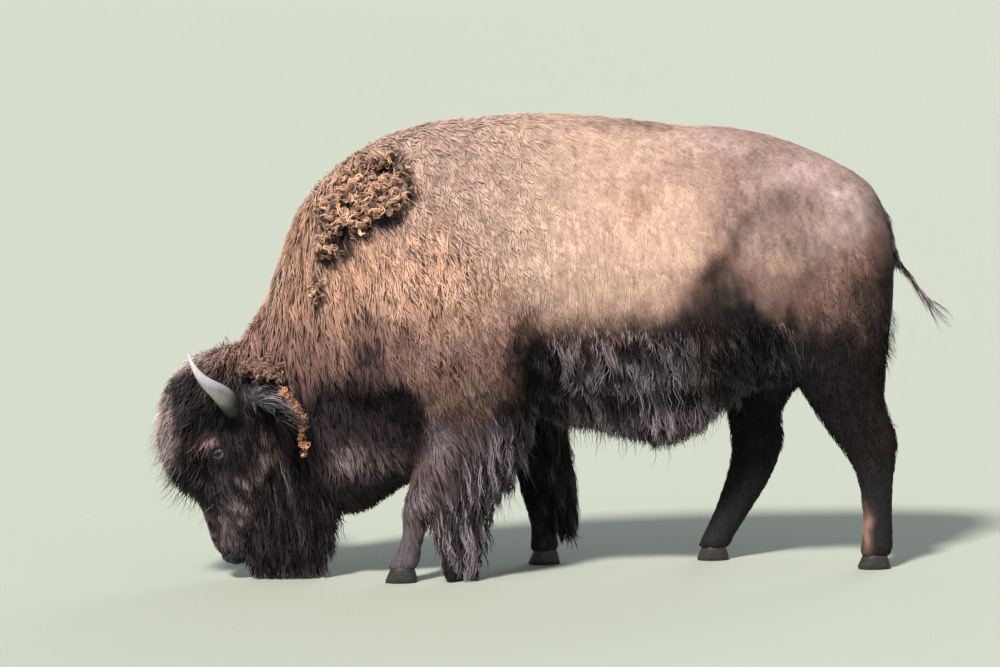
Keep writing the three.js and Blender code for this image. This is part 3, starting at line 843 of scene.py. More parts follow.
# %% The colour of any place
def markings(points, shares):
    """Colours for places on the body, painted shade and highlights included; shares say how much of each
    part is at each place.
    """
    moved = points + WANDER * np.stack([ripple(points, 0.16, s) for s in (1, 2, 3)], axis=1)
    x, z = moved[:, 0] - front, moved[:, 2]
    trunk = between_stops(x, TRUNK_STOPS)
    trunk = mix(trunk, trunk * 0.86, soft_step(ripple(points, 0.09, 5), -0.3, 0.8))
    speckle = soft_step(ripple(points, 0.022, 15), 0.1, 0.9) * soft_step(x, 1.95, 2.15)
    trunk = mix(trunk, trunk * 0.62, speckle)
    curly = soft_step(ripple(points, 0.026, 36), -0.2, 0.5) * spot(points, *CURLY_THIGH)
    trunk = mix(trunk, trunk * 0.35, curly)
    mottle = 1 + MOTTLE * ripple(points, 0.05, 34)
    for behind, up, across, high, colour, strength, *side in SPOTS:
        near = spot(moved, behind, up, across, high, *side) * mottle
        trunk = mix(trunk, colour, np.clip(strength * near, 0, 1))
    line, softness, brown = between_stops(x, BLACK_LINE).T
    ragged = 0.022 * ripple(points, 0.10, 31) + 0.010 * ripple(points, 0.035, 32)
    line, brown = line + ragged, brown + ragged
    brown_softness = np.interp(x, [1.2, 1.4], [0.16, 0.10])
    trunk = mix(trunk, RUST * 1.2, 0.88 * (1 - soft_step((z - brown) / brown_softness, -1.0, 1.0)))
    trunk = mix(trunk, between_stops(x, UNDER_STOPS), 1 - soft_step((z - line) / softness, -1.0, 1.0))
    colours = trunk * (shares @ wears_trunk_colours)[:, None]
    for part, shade in PART_SHADE.items():
        colours = colours + shares[:, parts.index(part)][:, None] * shade
    for centre, radius, colour, strength in own_spots:
        near = soft_ball(moved, centre, radius) * mottle
        colours = mix(colours, colour, np.clip(strength * near, 0, 1))
    # painted shade in the partings between locks darkens every colour
    return np.clip(colours * (1 - PARTING_SHADE * np.clip(partings(points, shares), 0, 1))[:, None], 0, 1)


# %% Colour the skin
SHARE_ROUNDS = 10
shares = np.eye(len(parts))[skin_part]
for _ in range(SHARE_ROUNDS):
    shares = 0.3 * shares + 0.7 * average(shares)
skin_shade = markings(skin_points, shares)
nose_pad = soft_ball(skin_points, face_point(nose_down + 0.060, 0, 0.045), 0.068)
bare_eye = np.max([soft_ball(skin_points, eyes[side], 0.044) for side in SIDES], axis=0)


def paint(mesh, name, values):
    """Gives every point of a mesh a value or a colour."""
    if values.ndim == 2:
        layer = mesh.attributes.new(name, "FLOAT_COLOR", "POINT")
        rgba = np.ones((len(values), 4), dtype=np.float32)
        rgba[:, :3] = values
        layer.data.foreach_set("color", rgba.ravel())
    else:
        layer = mesh.attributes.new(name, "FLOAT", "POINT")
        layer.data.foreach_set("value", np.ascontiguousarray(values, dtype=np.float32))


paint(skin_mesh, "markings", skin_shade)
paint(skin_mesh, "bare", np.clip(2.5 * np.maximum(nose_pad, bare_eye), 0, 1))
paint(skin_mesh, "nose", np.clip(2.5 * nose_pad, 0, 1))
print("mean colour of the skin", skin_shade.mean(axis=0).round(3))

# %% [markdown]
# ## Materials
# Hair is lighter towards its tip, where the sun bleaches it, and darker at the root, as painted shade
# where little light gets in. One node group makes that tone and serves every coat; it also paints
# sheen, a pale grey-lilac on the tips of some dark locks where light glances off them. A second group
# makes the fine grain of hair lying side by side, for the height of a bump: long thin noise, stretched
# the way the coat lies. The shader itself stays in each material.


# %% Helpers for node trees
def new_group(name, inputs, outputs):
    group = bpy.data.node_groups.new(name, "ShaderNodeTree")
    for label, kind, value in inputs:
        socket = group.interface.new_socket(label, in_out="INPUT", socket_type=kind)
        if value is not None:
            socket.default_value = value
    for label, kind in outputs:
        group.interface.new_socket(label, in_out="OUTPUT", socket_type=kind)
    tree = Nodes(group)
    return tree, group.nodes.new("NodeGroupInput"), group.nodes.new("NodeGroupOutput")


class Nodes:
    """A short way to add nodes and link them in one line."""

    def __init__(self, tree):
        self.tree = tree

    def add(self, kind, settings=None, **inputs):
        node = self.tree.nodes.new("ShaderNode" + kind)
        for key, value in (settings or {}).items():
            setattr(node, key, value)
        for key, value in inputs.items():
            socket = node.inputs[int(key[1:])] if key[1:].isdigit() else node.inputs[
                key.replace("_", " ")]
            self.put(socket, value)
        return node

    def put(self, socket, value):
        if isinstance(value, bpy.types.NodeSocket):
            self.tree.links.new(value, socket)
        else:
            socket.default_value = value

    def math(self, operation, a, b=0.0, clamp=False):
        node = self.add("Math", {"operation": operation, "use_clamp": clamp}, i0=a, i1=b)
        return node.outputs[0]

    def blend(self, a, b, share):
        node = self.add("Mix", {"data_type": "RGBA"}, i0=share, i6=a, i7=b)
        return node.outputs[2]

    def scale(self, colour, amount):
        return self.add("VectorMath", {"operation": "SCALE"}, i0=colour, i3=amount).outputs[0]

    def stretch(self, place, amounts):
        return self.add("VectorMath", {"operation": "MULTIPLY"}, i0=place, i1=amounts).outputs[0]

    def noise(self, place, scale, detail=2.0, rough=0.5):
        return self.add("TexNoise", Vector=place, Scale=scale, Detail=detail,
                        Roughness=rough).outputs[0]

    def attribute(self, name, output="Fac"):
        return self.add("Attribute", {"attribute_name": name}).outputs[output]


def new_paint(name, **constants):
    """A material, a short way to add its nodes, and its shader."""
    material, shader = new_material(name, **constants)
    return material, Nodes(material.node_tree), shader


# %% Group: the tone of a tuft from root to tip
tone, tone_in, tone_out = new_group(
    "coat_tone",
    [("Markings", "NodeSocketColor", None), ("Along", "NodeSocketFloat", 0.5),
     ("Chance", "NodeSocketFloat", 0.5), ("Root", "NodeSocketFloat", 0.6),
     ("Tip", "NodeSocketFloat", 0.3), ("Variety", "NodeSocketFloat", 0.5),
     ("Grey", "NodeSocketFloat", 0.0), ("Full grey", "NodeSocketFloat", 0.06)],
    [("Colour", "NodeSocketColor")])
rise = tone.add("MapRange", {"interpolation_type": "SMOOTHSTEP"}, i0=tone_in.outputs["Along"],
                i1=0.0, i2=0.6, i3=tone_in.outputs["Root"], i4=1.0).outputs[0]
bleach = tone.math("MULTIPLY", tone.math("POWER", tone_in.outputs["Along"], 2.5),
                   tone_in.outputs["Tip"])
chance = tone.math("MULTIPLY", tone.math("SUBTRACT", tone_in.outputs["Chance"], 0.5),
                   tone.math("MULTIPLY", tone_in.outputs["Variety"], 2.0))
chance = tone.math("MAXIMUM", tone.math("ADD", chance, 1.0), 0.12)
level = tone.math("MULTIPLY", tone.math("ADD", rise, bleach), chance)
# painted sheen: pale grey-lilac towards the tips of some locks of dark hair, as light glancing off it
painted_sheen = tone.add("MapRange", {"interpolation_type": "SMOOTHSTEP"}, i0=tone_in.outputs["Chance"],
                 i1=0.48, i2=0.85).outputs[0]
painted_sheen = tone.math("MULTIPLY", tone.math("MULTIPLY", painted_sheen, tone_in.outputs["Along"]),
                  tone_in.outputs["Grey"])
brightness = tone.add("RGBToBW", Color=tone_in.outputs["Markings"]).outputs[0]
brightness = tone.math("DIVIDE", brightness, tone_in.outputs["Full grey"], True)
painted_sheen = tone.math("MULTIPLY", painted_sheen, brightness)
tone.put(tone_out.inputs[0], tone.blend(tone.scale(tone_in.outputs["Markings"], level),
                                        (0.50, 0.43, 0.47, 1.0), painted_sheen))

# %% Group: the grain of hair lying side by side
grain, grain_in, grain_out = new_group(
    "hair_grain",
    [("Place", "NodeSocketVector", None), ("Lean", "NodeSocketFloat", 0.35),
     ("Fineness", "NodeSocketFloat", 160.0), ("Stretch", "NodeSocketFloat", 0.12)],
    [("Height", "NodeSocketFloat")])
lean = grain.add("CombineXYZ", i1=grain_in.outputs["Lean"])
turned = grain.add("VectorRotate", {"rotation_type": "EULER_XYZ"},
                   Vector=grain_in.outputs["Place"], Rotation=lean.outputs[0])
lie = grain.add("CombineXYZ", i0=1.0, i1=1.0, i2=grain_in.outputs["Stretch"])
lying = grain.stretch(turned.outputs[0], lie.outputs[0])
fine = grain.noise(lying, grain_in.outputs["Fineness"], 3.0, 0.6)
broad = grain.noise(lying, grain.math("MULTIPLY", grain_in.outputs["Fineness"], 0.28), 2.0)
grain.put(grain_out.inputs[0], grain.math("ADD", fine, grain.math("MULTIPLY", broad, 0.7)))


def raise_grain(nodes, shader, height, strength, distance):
    """Lets a height tilt the light on a surface."""
    bump = nodes.add("Bump", Strength=strength, Distance=distance, Height=height)
    nodes.put(shader.inputs["Normal"], bump.outputs[0])


def use(nodes, group, **inputs):
    node = nodes.add("Group", {"node_tree": group})
    for label, value in inputs.items():
        nodes.put(node.inputs[label], value)
    return node.outputs[0]


# %% Coats
def coat_material(name, root, tip, variety, grey=0.0, **constants):
    material, nodes, shader = new_paint(name, **constants)
    colour = use(nodes, tone.tree, Markings=nodes.attribute("markings", "Color"),
                 Along=nodes.attribute("along"), Chance=nodes.attribute("chance"),
                 Root=root, Tip=tip, Variety=variety, Grey=grey)
    nodes.put(shader.inputs["Base Color"], colour)
    height = use(nodes, grain.tree, Place=nodes.add("TexCoord").outputs["Object"],
                 Fineness=420.0, Stretch=0.15)
    raise_grain(nodes, shader, height, 0.25, 0.002)
    return material


body_wool = coat_material("body_wool", 0.60, 0.32, 0.30, Roughness=0.75, Specular_IOR_Level=0.06)
dark_hair = coat_material("dark_hair", 0.14, 1.0, 0.95, 0.90, Roughness=0.45,
                          Specular_IOR_Level=0.13)
face_hair = coat_material("face_hair", 0.25, 0.9, 0.95, 0.26, Roughness=0.45,
                          Specular_IOR_Level=0.11)
shed_paint = coat_material("shed_wool", 0.55, 0.25, 0.7, Roughness=0.85, Specular_IOR_Level=0.12,
                          Sheen_Weight=0.15, Sheen_Roughness=0.6)
MATERIAL_OF_SLOT = {"wool": body_wool, "dark_hair": dark_hair, "face": face_hair}

# %% Skin
skin_material, nodes, shader = new_paint("skin_and_underwool", Specular_IOR_Level=0.3)
object_place = nodes.add("TexCoord").outputs["Object"]
height = use(nodes, grain.tree, Place=object_place, Fineness=190.0, Stretch=0.12)
pores = nodes.add("TexVoronoi", Vector=object_place, Scale=330.0).outputs["Distance"]
bare_share = nodes.attribute("bare")
shade = nodes.attribute("markings", "Color")
furred = nodes.scale(shade, nodes.add("MapRange", i0=height, i1=0.5, i2=1.2, i3=0.5, i4=1.05).outputs[0])
brown = nodes.blend((0.016, 0.012, 0.012, 1), (0.16, 0.10, 0.085, 1), nodes.attribute("nose"))
leather = nodes.blend((0.014, 0.011, 0.011, 1), brown, nodes.noise(object_place, 38.0, 3.0))
nodes.put(shader.inputs["Base Color"], nodes.blend(furred, leather, bare_share))
nodes.put(shader.inputs["Roughness"], nodes.add("MapRange", i0=bare_share, i3=0.85, i4=0.36).outputs[0])
relief = nodes.add("Mix", {"data_type": "FLOAT"}, i0=bare_share, i2=height, i3=pores).outputs[0]
raise_grain(nodes, shader, relief, 0.6, 0.004)
skin_mesh.materials.clear()
skin_mesh.materials.append(skin_material)

# %% [markdown]
# ## Growing the coat
# A tuft is a thin closed blade of three sides that rises from the skin, lies over along the coat
# and ends in a point. All tufts of a piece are made at once from arrays, which is far quicker than
# one object each and leaves nothing to be realized. Roots are spread evenly over the skin's
# triangles by area and by the plan's density. Each tuft leans towards the tip of a leading
# neighbour, and that gathers the hair into locks with partings between them, where the coat is
# painted darker as shade. No tuft may pass the frame's surface by more than a little.

# %% Spread the roots
def surface_of(mesh, part, **values):
    """All that the tufts need to know about the surface they grow on."""
    mesh.calc_loop_triangles()
    count = len(mesh.loop_triangles)
    verts = np.empty(count * 3, dtype=np.int64)
    loops = np.empty(count * 3, dtype=np.int64)
    mesh.loop_triangles.foreach_get("vertices", verts)
    mesh.loop_triangles.foreach_get("loops", loops)
    uv = np.empty(len(mesh.loops) * 2)
    mesh.uv_layers["OFBake"].data.foreach_get("uv", uv)
    verts, points = verts.reshape(-1, 3), read_points(mesh)
    a, b, c = (points[verts[:, k]] for k in range(3))
    return {"verts": verts, "loops": loops.reshape(-1, 3), "uv": uv.reshape(-1, 2), "part": part,
            "area": np.linalg.norm(np.cross(b - a, c - a), axis=1) / 2,
            "values": {"place": points, "normal": read_normals(mesh), **values}}


def spread_roots(surface, density):
    """Evenly spread roots, with `density` given at the surface's points."""
    verts = surface["verts"]
    ends = np.cumsum(surface["area"] * density[verts].mean(axis=1))
    count = int(ends[-1])
    picks = np.searchsorted(ends, (np.arange(count) + rng.random(count)) / count * ends[-1])
    picks = np.minimum(picks, len(verts) - 1)
    share, turn = np.sqrt(rng.random(count)), rng.random(count)
    bary = np.stack([1 - share, share * (1 - turn), share * turn], axis=1)[:, :, None]
    roots = {key: (value[verts[picks]] * bary).sum(axis=1) for key, value in surface["values"].items()}
    roots["normal"] = unit(roots["normal"])
    roots["uv"] = (surface["uv"][surface["loops"][picks]] * bary).sum(axis=1)
    roots["part"] = surface["part"][verts[picks, 0]]
    roots["chance"] = rng.random(count)
    return roots


def pick_roots(roots, chosen):
    return {key: values[chosen] for key, values in roots.items()}


# %% Root the body's coat
bald = np.maximum(2.2 * nose_pad, 2.4 * bare_eye)
for side, sign in SIDES.items():
    bald = np.maximum(bald, 2 * soft_ball(skin_points, horn_roots[side] - sign * to_left * 0.02, 0.055))
hairy = (1 - np.clip(bald, 0, 1)) * (skin_points[:, 2] > 0.05)
skin_surface = surface_of(skin_mesh, skin_part, plan=plan, shares=shares, shaggy=shaggy[:, None])
roots = spread_roots(skin_surface, plan[:, DENSITY] * hairy)
BORDER_MIX = 0.05  # how far the kinds of coat reach into each other on the trunk
moved = roots["place"] + rng.normal(scale=BORDER_MIX, size=roots["place"].shape)
neighbour = skin_part[nearest_of(skin_points, moved)]
both_on_trunk = (on_trunk[neighbour] * on_trunk[roots["part"]]) > 0
roots["part"] = np.where(both_on_trunk, neighbour, roots["part"])
in_underside = rng.random(len(roots["place"])) < 2 * roots["shaggy"][:, 0]
roots["part"] = np.where(in_underside, part_of("belly_fringe"), roots["part"])
print("skin area", round(skin_surface["area"].sum(), 2), "m2;", len(roots["place"]), "roots")


# %% Lay the tufts
def slide_off(flow, normal, hang):
    """The flow along the skin; what hangs keeps its way out, but nothing goes into the body."""
    into = (flow * normal).sum(axis=1, keepdims=True)
    keep = np.where(into > 0, hang[:, None] * into, 0.0)
    return flow + (keep - into) * normal


FREE = ("ear", "tail", "tail_tuft")  # their long hair hangs clear of the frame's surface
LENGTHS, RISES = (0.65, 1.20), (0.35, 1.05)  # as shares of what the plan says
SHOWN = 0.6  # the outer part of a tuft shows, so its colour is asked for this far along it
LEAST_FIT = 0.5  # a tuft is shortened to half at most
TOP_FLOW = 0.9  # how far the hair on top of the body turns backwards


def lay_tufts(roots, limited=True):
    """Adds each tuft's run along the skin, its rise from it and its colour to the roots."""
    plan, normal = roots["plan"], roots["normal"]
    count = len(normal)
    frizz = (0.10 + 0.16 * plan[:, CRINKLE]) * np.clip(0.055 / plan[:, LENGTH], 0.3, 1)
    flow = plan[:, FLOW] + np.outer(TOP_FLOW * np.clip(normal[:, 2] - 0.2, 0, 1), [1, 0, 0])
    length = plan[:, LENGTH] * rng.uniform(*LENGTHS, count)
    rise = plan[:, DEPTH] * rng.uniform(*RISES, count)
    shown = roots["place"] + slide_off(flow, normal, plan[:, HANG]) * (SHOWN * length)[:, None]
    roots["shade"] = markings(shown, roots["shares"])
    rise *= 1 - 0.6 * np.clip(partings(shown, roots["shares"]), 0, 1)  # lower in a parting
    flow = unit(flow + rng.normal(size=(count, 3)) * frizz[:, None])
    roots["run"] = slide_off(flow, normal, plan[:, HANG]) * length[:, None]
    roots["rise"] = normal * rise[:, None]
    if limited:
        way = roots["run"] + roots["rise"]
        reach = np.linalg.norm(way, axis=1)
        heading = way / reach[:, None]
        room = np.full(count, 10.0)
        for i in range(count):
            hit = coat_surface.ray_cast(roots["place"][i], heading[i], reach[i])
            if hit[3] is not None:
                room[i] = hit[3]
        fit = np.clip(rng.uniform(1.0, 1.15, count) * room / reach, LEAST_FIT, 1.0)
        fit = np.where(np.isin(roots["part"], [part_of(node) for node in FREE]), 1.0, fit)
        roots["run"] *= fit[:, None]
        roots["rise"] *= fit[:, None]
    return roots


# %% Gather the tufts into locks
LOCK_TONE = 0.75  # the leader's share in the tone of its lock
PULL_LIMIT = 0.8  # share of a tuft's length by which its tip may be pulled aside


def gather(roots, members=16):
    """Pulls every tuft, with its tone and wave, to a leader in its lock; returns the tips' shifts."""
    place = roots["place"]
    count = len(place)
    in_lock = np.stack([0.1 * np.floor(cord_of(place)), place[:, 1], 0.4 * place[:, 2]], axis=1)
    leaders = np.flatnonzero(rng.random(count) < 1 / members)
    nearest = leaders[nearest_of(in_lock[leaders], in_lock)]
    tips = place + roots["run"] + roots["rise"]
    roots["chance"] = (1 - LOCK_TONE) * roots["chance"] + LOCK_TONE * roots["chance"][nearest]
    roots["phase"] = rng.uniform(0, 2 * np.pi, count)[nearest] + rng.normal(scale=0.6, size=count)
    roots["turns"] = rng.uniform(0.9, 1.6, count)[nearest]
    pull = (tips[nearest] - tips) * roots["plan"][:, GATHER][:, None]
    length = np.linalg.norm(roots["run"], axis=1, keepdims=True)
    heading = roots["run"] / length
    back = np.minimum((pull * heading).sum(axis=1, keepdims=True), 0)
    pull -= back * heading  # a tuft is never pulled back over itself
    far = np.linalg.norm(pull, axis=1, keepdims=True) + 1e-6
    return pull * np.minimum(1, PULL_LIMIT * length / far)


# %% Make blades along paths
BLADE = {1: (1.0, 0.0), 2: (0.75, 1.0, 0.0), 3: (0.7, 1.0, 0.75, 0.0), 4: (0.7, 1.0, 0.85, 0.55, 0.0),
         5: (0.7, 1.0, 0.9, 0.7, 0.45, 0.0)}
BLADE_THICKNESS = 0.6


def blades(paths, widths, up, softness):
    """Vertices, facings and triangles of closed three-sided blades along paths (n, stations, 3)."""
    count, stations, _ = paths.shape
    heading = unit(np.gradient(paths, axis=1))
    side = unit(np.cross(heading, up[:, None, :]))
    over = np.cross(side, heading)
    half = widths[:, :, None]
    rings = np.stack([paths + side * half, paths - side * half,
                      paths + over * half * BLADE_THICKNESS], axis=2)
    facing = np.stack([side, -side, over], axis=2) * (1 - softness) + softness * up[:, None, None]
    verts = np.concatenate([rings[:, :-1].reshape(count, -1, 3), paths[:, -1:]], axis=1)
    facing = np.concatenate([facing[:, :-1].reshape(count, -1, 3), up[:, None]], axis=1)
    faces = [(0, 2, 1)]
    for ring in range(stations - 2):
        here, there = 3 * ring, 3 * ring + 3
        for a, b in ((0, 1), (1, 2), (2, 0)):
            faces += [(here + a, here + b, there + b), (here + a, there + b, there + a)]
    last, tip = 3 * (stations - 2), 3 * (stations - 1)
    faces += [(last, last + 1, tip), (last + 1, last + 2, tip), (last + 2, last, tip)]
    faces = np.array(faces)[None] + (np.arange(count) * verts.shape[1])[:, None, None]
    return verts, unit(facing), faces.reshape(-1, 3)


# %% Make a mesh of blades
PATCH = 0.003  # size of a tuft's patch in the bake map


def build_piece(name, paths, widths, roots, softness, material):
    """A mesh of blades, with its colours, its place in the bake map and its material."""
    verts, facing, faces = blades(paths, widths, roots["normal"], softness)
    per_tuft = verts.shape[1]
    stations = paths.shape[1]
    along = np.append(np.repeat(np.linspace(0, 1, stations)[:-1], 3), 1.0)
    across = np.append(np.tile([1.0, 0.0, 0.5], stations - 1), 0.5)
    mesh = bpy.data.meshes.new(name)
    mesh.vertices.add(verts.shape[0] * per_tuft)
    mesh.vertices.foreach_set("co", verts.astype(np.float32).ravel())
    mesh.loops.add(faces.size)
    mesh.loops.foreach_set("vertex_index", faces.astype(np.int32).ravel())
    mesh.polygons.add(len(faces))
    mesh.polygons.foreach_set("loop_start", np.arange(0, faces.size, 3, dtype=np.int32))
    make_smooth(mesh)
    mesh.update(calc_edges=True)
    mesh.normals_split_custom_set_from_vertices(facing.reshape(-1, 3))
    paint(mesh, "markings", np.repeat(roots["shade"], per_tuft, axis=0))
    paint(mesh, "along", np.tile(along, len(verts)))
    paint(mesh, "chance", np.repeat(roots["chance"], per_tuft))
    patch = np.stack([across, along], axis=1) - 0.5
    uv = (roots["uv"][:, None, :] + PATCH * patch[None]).reshape(-1, 2)
    layer = mesh.uv_layers.new(name="OFBake")
    layer.data.foreach_set("uv", uv[faces.ravel()].astype(np.float32).ravel())
    mesh.materials.append(material)
    return put_in_scene(name, mesh)


# %% Bend the tufts
SUNK = 0.003  # how deep a root sits in the skin
DROOP = 0.35  # how far hanging hair bends down, as a share of its length
SWING = 0.11  # how far crinkled hair sways aside, as a share of its length
LOWEST = 0.003  # hair that reaches the floor lies on it
SOFTNESS = {"wool": 0.6, "dark_hair": 0.25, "face": 0.35}  # the skin's share in a tuft's facing


def grow(name, roots, segments, slot, lead):
    """Grows one coat piece from laid roots, each tip shifted by its lead."""
    count = len(roots["place"])
    t = np.linspace(0, 1, segments + 1)
    bend = 1 - (1 - t) ** 2
    base = roots["place"] - roots["normal"] * SUNK
    paths = (base[:, None] + roots["run"][:, None] * t[None, :, None]
             + roots["rise"][:, None] * bend[None, :, None])
    paths += lead[:, None] * (t ** 1.5)[None, :, None]
    length = np.linalg.norm(roots["run"], axis=1)
    side = unit(np.cross(roots["run"], roots["normal"]))
    swing = roots["plan"][:, CRINKLE] * length * SWING
    turns = roots["turns"] * min(segments, 4) / 3
    wave = roots["phase"][:, None] + 2 * np.pi * turns[:, None] * t[None]
    paths += side[:, None] * (swing[:, None] * np.sin(wave) * t)[:, :, None]
    paths += roots["normal"][:, None] * (0.5 * swing[:, None] * np.cos(wave) * t)[:, :, None]
    paths[:, :, 2] -= (DROOP * roots["plan"][:, HANG] * length)[:, None] * t ** 2
    paths[:, :, 2] = np.maximum(paths[:, :, 2], LOWEST)
    half = roots["plan"][:, WIDTH] * rng.uniform(0.7, 1.3, count)
    widths = half[:, None] * np.array(BLADE[segments])[None]
    return build_piece(name, paths, widths, roots, SOFTNESS[slot], MATERIAL_OF_SLOT[slot])


# %% List the coat's pieces
PIECES = {  # name: parts, segments, material slot, one piece for each side
    "coat_hump": (("forequarters",), 2, "wool", True),
    "coat_neck": (("neck",), 2, "wool", True),
    "coat_flank": (("barrel",), 1, "wool", True),
    "coat_rump": (("hindquarters",), 1, "wool", True),
    "coat_forelegs": (("foreleg", "cannon_fore"), 2, "wool", False),
    "coat_hindlegs": (("thigh", "cannon_hind"), 2, "wool", True),
    "coat_face": (("head", "muzzle"), 2, "face", False),
    "coat_ears": (("ear",), 4, "dark_hair", False),
    "coat_tail": (("tail", "tail_tuft"), 3, "dark_hair", False),
    "locks_forelock": (("forelock",), 3, "face", False),
    "locks_beard": (("beard",), 4, "face", False),
    "locks_chaps": (("chaps",), 5, "dark_hair", True),
    "locks_belly": (("belly_fringe",), 3, "dark_hair", True),
}
EYE_WINDOW = 0.040  # round each eye no tuft grows or hangs
STANDS_FOR = {"locks_forelock": ["forelock"], "locks_beard": ["beard"],
              "locks_chaps_left": ["chaps_left"], "locks_chaps_right": ["chaps_right"],
              "locks_belly_left": ["belly_fringe"], "coat_tail": ["tail_tuft"]}
coat = []
print("the coat is grown in", len(PIECES), "kinds of piece")


# %% Hand a piece over
def hand_over(piece):
    """Gives a finished coat piece to the frame."""
    coat.append(piece)
    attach(piece, "root")
    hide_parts(*STANDS_FOR.get(piece.name, []))
    print(piece.name, len(piece.data.polygons), "triangles")


# %% Grow the body's coat and its long hair
roots = lay_tufts(roots)
halfway, tips = (roots["place"] + share * (roots["run"] + roots["rise"]) for share in (0.6, 1.0))
clear = np.ones(len(tips), dtype=bool)
for side in SIDES:
    window = eyes[side] + eye_frames[side][1] * 0.02
    for passed in (halfway, tips):
        clear &= np.linalg.norm(passed - window, axis=1) > EYE_WINDOW
roots = pick_roots(roots, clear)
lead = gather(roots)
for name, (members, segments, slot, two_sided) in PIECES.items():
    member = np.isin(roots["part"], [parts.index(part) for part in members])
    on_left = roots["place"][:, 1] < mid_y
    halves = {f"{name}_left": member & on_left, f"{name}_right": member & ~on_left}
    for piece_name, chosen in (halves if two_sided else {name: member}).items():
        hand_over(grow(piece_name, pick_roots(roots, chosen), segments, slot, lead[chosen]))
print("coat:", sum(len(piece.data.polygons) for piece in coat), "triangles")

# %% [markdown]
# ## Stray hairs
# Where the coat thins out at an edge, single long locks hang free of it: behind the elbow, under
# the belly, in front of and behind the thigh and round the mop. Longer tufts everywhere would blur
# the outline, so these are few. They are grown like the coat, but nothing stops them at the frame's
# surface.

# %% Grow the stray locks
STRAY_SPOTS = [  # behind the front, height, half width, half height, locks per m2
    (1.37, 0.72, 0.10, 0.14, 1500),
    (1.03, 0.24, 0.07, 0.13, 6000),
    (1.20, 0.45, 0.16, 0.20, 900),
    (1.75, 0.66, 0.55, 0.16, 1700),
    (2.30, 0.80, 0.14, 0.14, 1500),
    (2.70, 0.86, 0.07, 0.16, 2600),
    (0.10, 0.50, 0.22, 0.36, 2600),
    (0.50, 0.25, 0.20, 0.20, 1500),
]
stray_density = np.zeros(len(skin_points))
for *place, amount in STRAY_SPOTS:
    stray_density = np.maximum(stray_density, amount * spot(skin_points, *place))
stray = spread_roots(skin_surface, stray_density * hairy)
stray["plan"][:, LENGTH] = np.clip(1.3 * stray["plan"][:, LENGTH], 0.06, 0.15)
stray["plan"][:, DEPTH] = np.maximum(stray["plan"][:, DEPTH], 0.02)
for column, value in ((WIDTH, 0.0013), (CRINKLE, 1.0), (GATHER, 0.5), (HANG, 0.8)):
    stray["plan"][:, column] = value
stray = lay_tufts(stray, limited=False)
stray["shade"] = np.minimum(stray["shade"], GREY)
hand_over(grow("stray_locks", stray, 4, "dark_hair", gather(stray, members=4)))

# %% [markdown]
# ## Shed wool
# In early summer the winter wool comes away in mats. A curled nest of it hangs on the left of the
# hump, with a small ball and a strand below, a rust-coloured tag hangs behind the left ear and a
# matted roll lies above it. Felted wool has no smooth surface of its own, so each mat is a lump of
# balls melted together, which gives the rolls and hollows, with curled bundles of strands over it.
# The cores are painted darker than the wool, as painted shade in the hollows between the curls.


# %% Lay out the mats
def against(behind, up, stand):
    """A place that stands out from the coat on the left side."""
    hit, normal, _, _ = coat_surface.ray_cast((front + behind, mid_y - 2.0, up), (0, 1, 0), 4.0)
    return np.array(hit + normal * stand)


MAT_VOXEL = 0.006
MATS = {  # balls as (behind, up, radius), how far they stand out, colour,
    # curls per m2, their size, thickness and strands, and the share of the colour between them
    "shed_nest": ([(0.72, 1.467, 0.026), (0.762, 1.446, 0.032), (0.806, 1.466, 0.030),
                   (0.842, 1.43, 0.034), (0.887, 1.458, 0.028), (0.908, 1.408, 0.027),
                   (0.783, 1.403, 0.034), (0.871, 1.387, 0.026), (0.739, 1.421, 0.028),
                   (0.83, 1.385, 0.024), (0.76, 1.365, 0.019), (0.755, 1.335, 0.016),
                   (0.793, 1.340, 0.017), (0.795, 1.31, 0.014), (0.757, 1.30, 0.014),
                   (0.649, 1.382, 0.026), (0.694, 1.385, 0.026), (0.723, 1.346, 0.022),
                   (0.656, 1.342, 0.024), (0.700, 1.315, 0.018), (0.747, 1.495, 0.018),
                   (0.796, 1.522, 0.019), (0.844, 1.544, 0.020), (0.892, 1.555, 0.019),
                   (0.932, 1.524, 0.017), (0.957, 1.475, 0.014), (0.970, 1.435, 0.011)],
                  0.012, TAN * 1.15, 5000, 0.016, 0.0019, 3, 0.16),
    "shed_ball": ([(0.644, 1.257, 0.024), (0.632, 1.228, 0.022), (0.655, 1.235, 0.018),
                   (0.611, 1.125, 0.012), (0.607, 1.10, 0.014), (0.602, 1.065, 0.013)],
                  0.012, TAN * 1.1, 6500, 0.013, 0.0016, 3, 0.16),
    "ear_tag": ([(0.488, 0.716, 0.022), (0.498, 0.680, 0.026), (0.520, 0.654, 0.027),
                 (0.543, 0.624, 0.021), (0.550, 0.590, 0.013), (0.547, 0.560, 0.011),
                 (0.553, 0.528, 0.013), (0.559, 0.500, 0.008)],
                0.026, np.array([0.52, 0.24, 0.125]), 15000, 0.007, 0.0015, 2, 0.65),
    "nape_roll": ([(0.345, 0.800, 0.020), (0.375, 0.822, 0.020), (0.415, 0.818, 0.022),
                   (0.452, 0.800, 0.018), (0.472, 0.772, 0.014), (0.397, 0.789, 0.024),
                   (0.430, 0.785, 0.018)],
                  0.012, np.array([0.28, 0.155, 0.11]), 8500, 0.011, 0.0016, 2, 0.45),
}
# no curls grow over these hollows, so the core's painted shade shows there
MAT_GAPS = [  # dark hollows between the rolls of wool: place, half width, half height
    (0.885, 1.508, 0.075, 0.022), (0.945, 1.462, 0.022, 0.060),
    (0.722, 1.402, 0.024, 0.050), (0.80, 1.362, 0.050, 0.018),
]
print("balls of wool:", {name: len(row[0]) for name, row in MATS.items()})

# %% Curl the wool
CURL_STATIONS = 8
CURL_WIDTHS = np.array([0.6, 0.9, 1.0, 1.0, 1.0, 0.9, 0.7, 0.0])


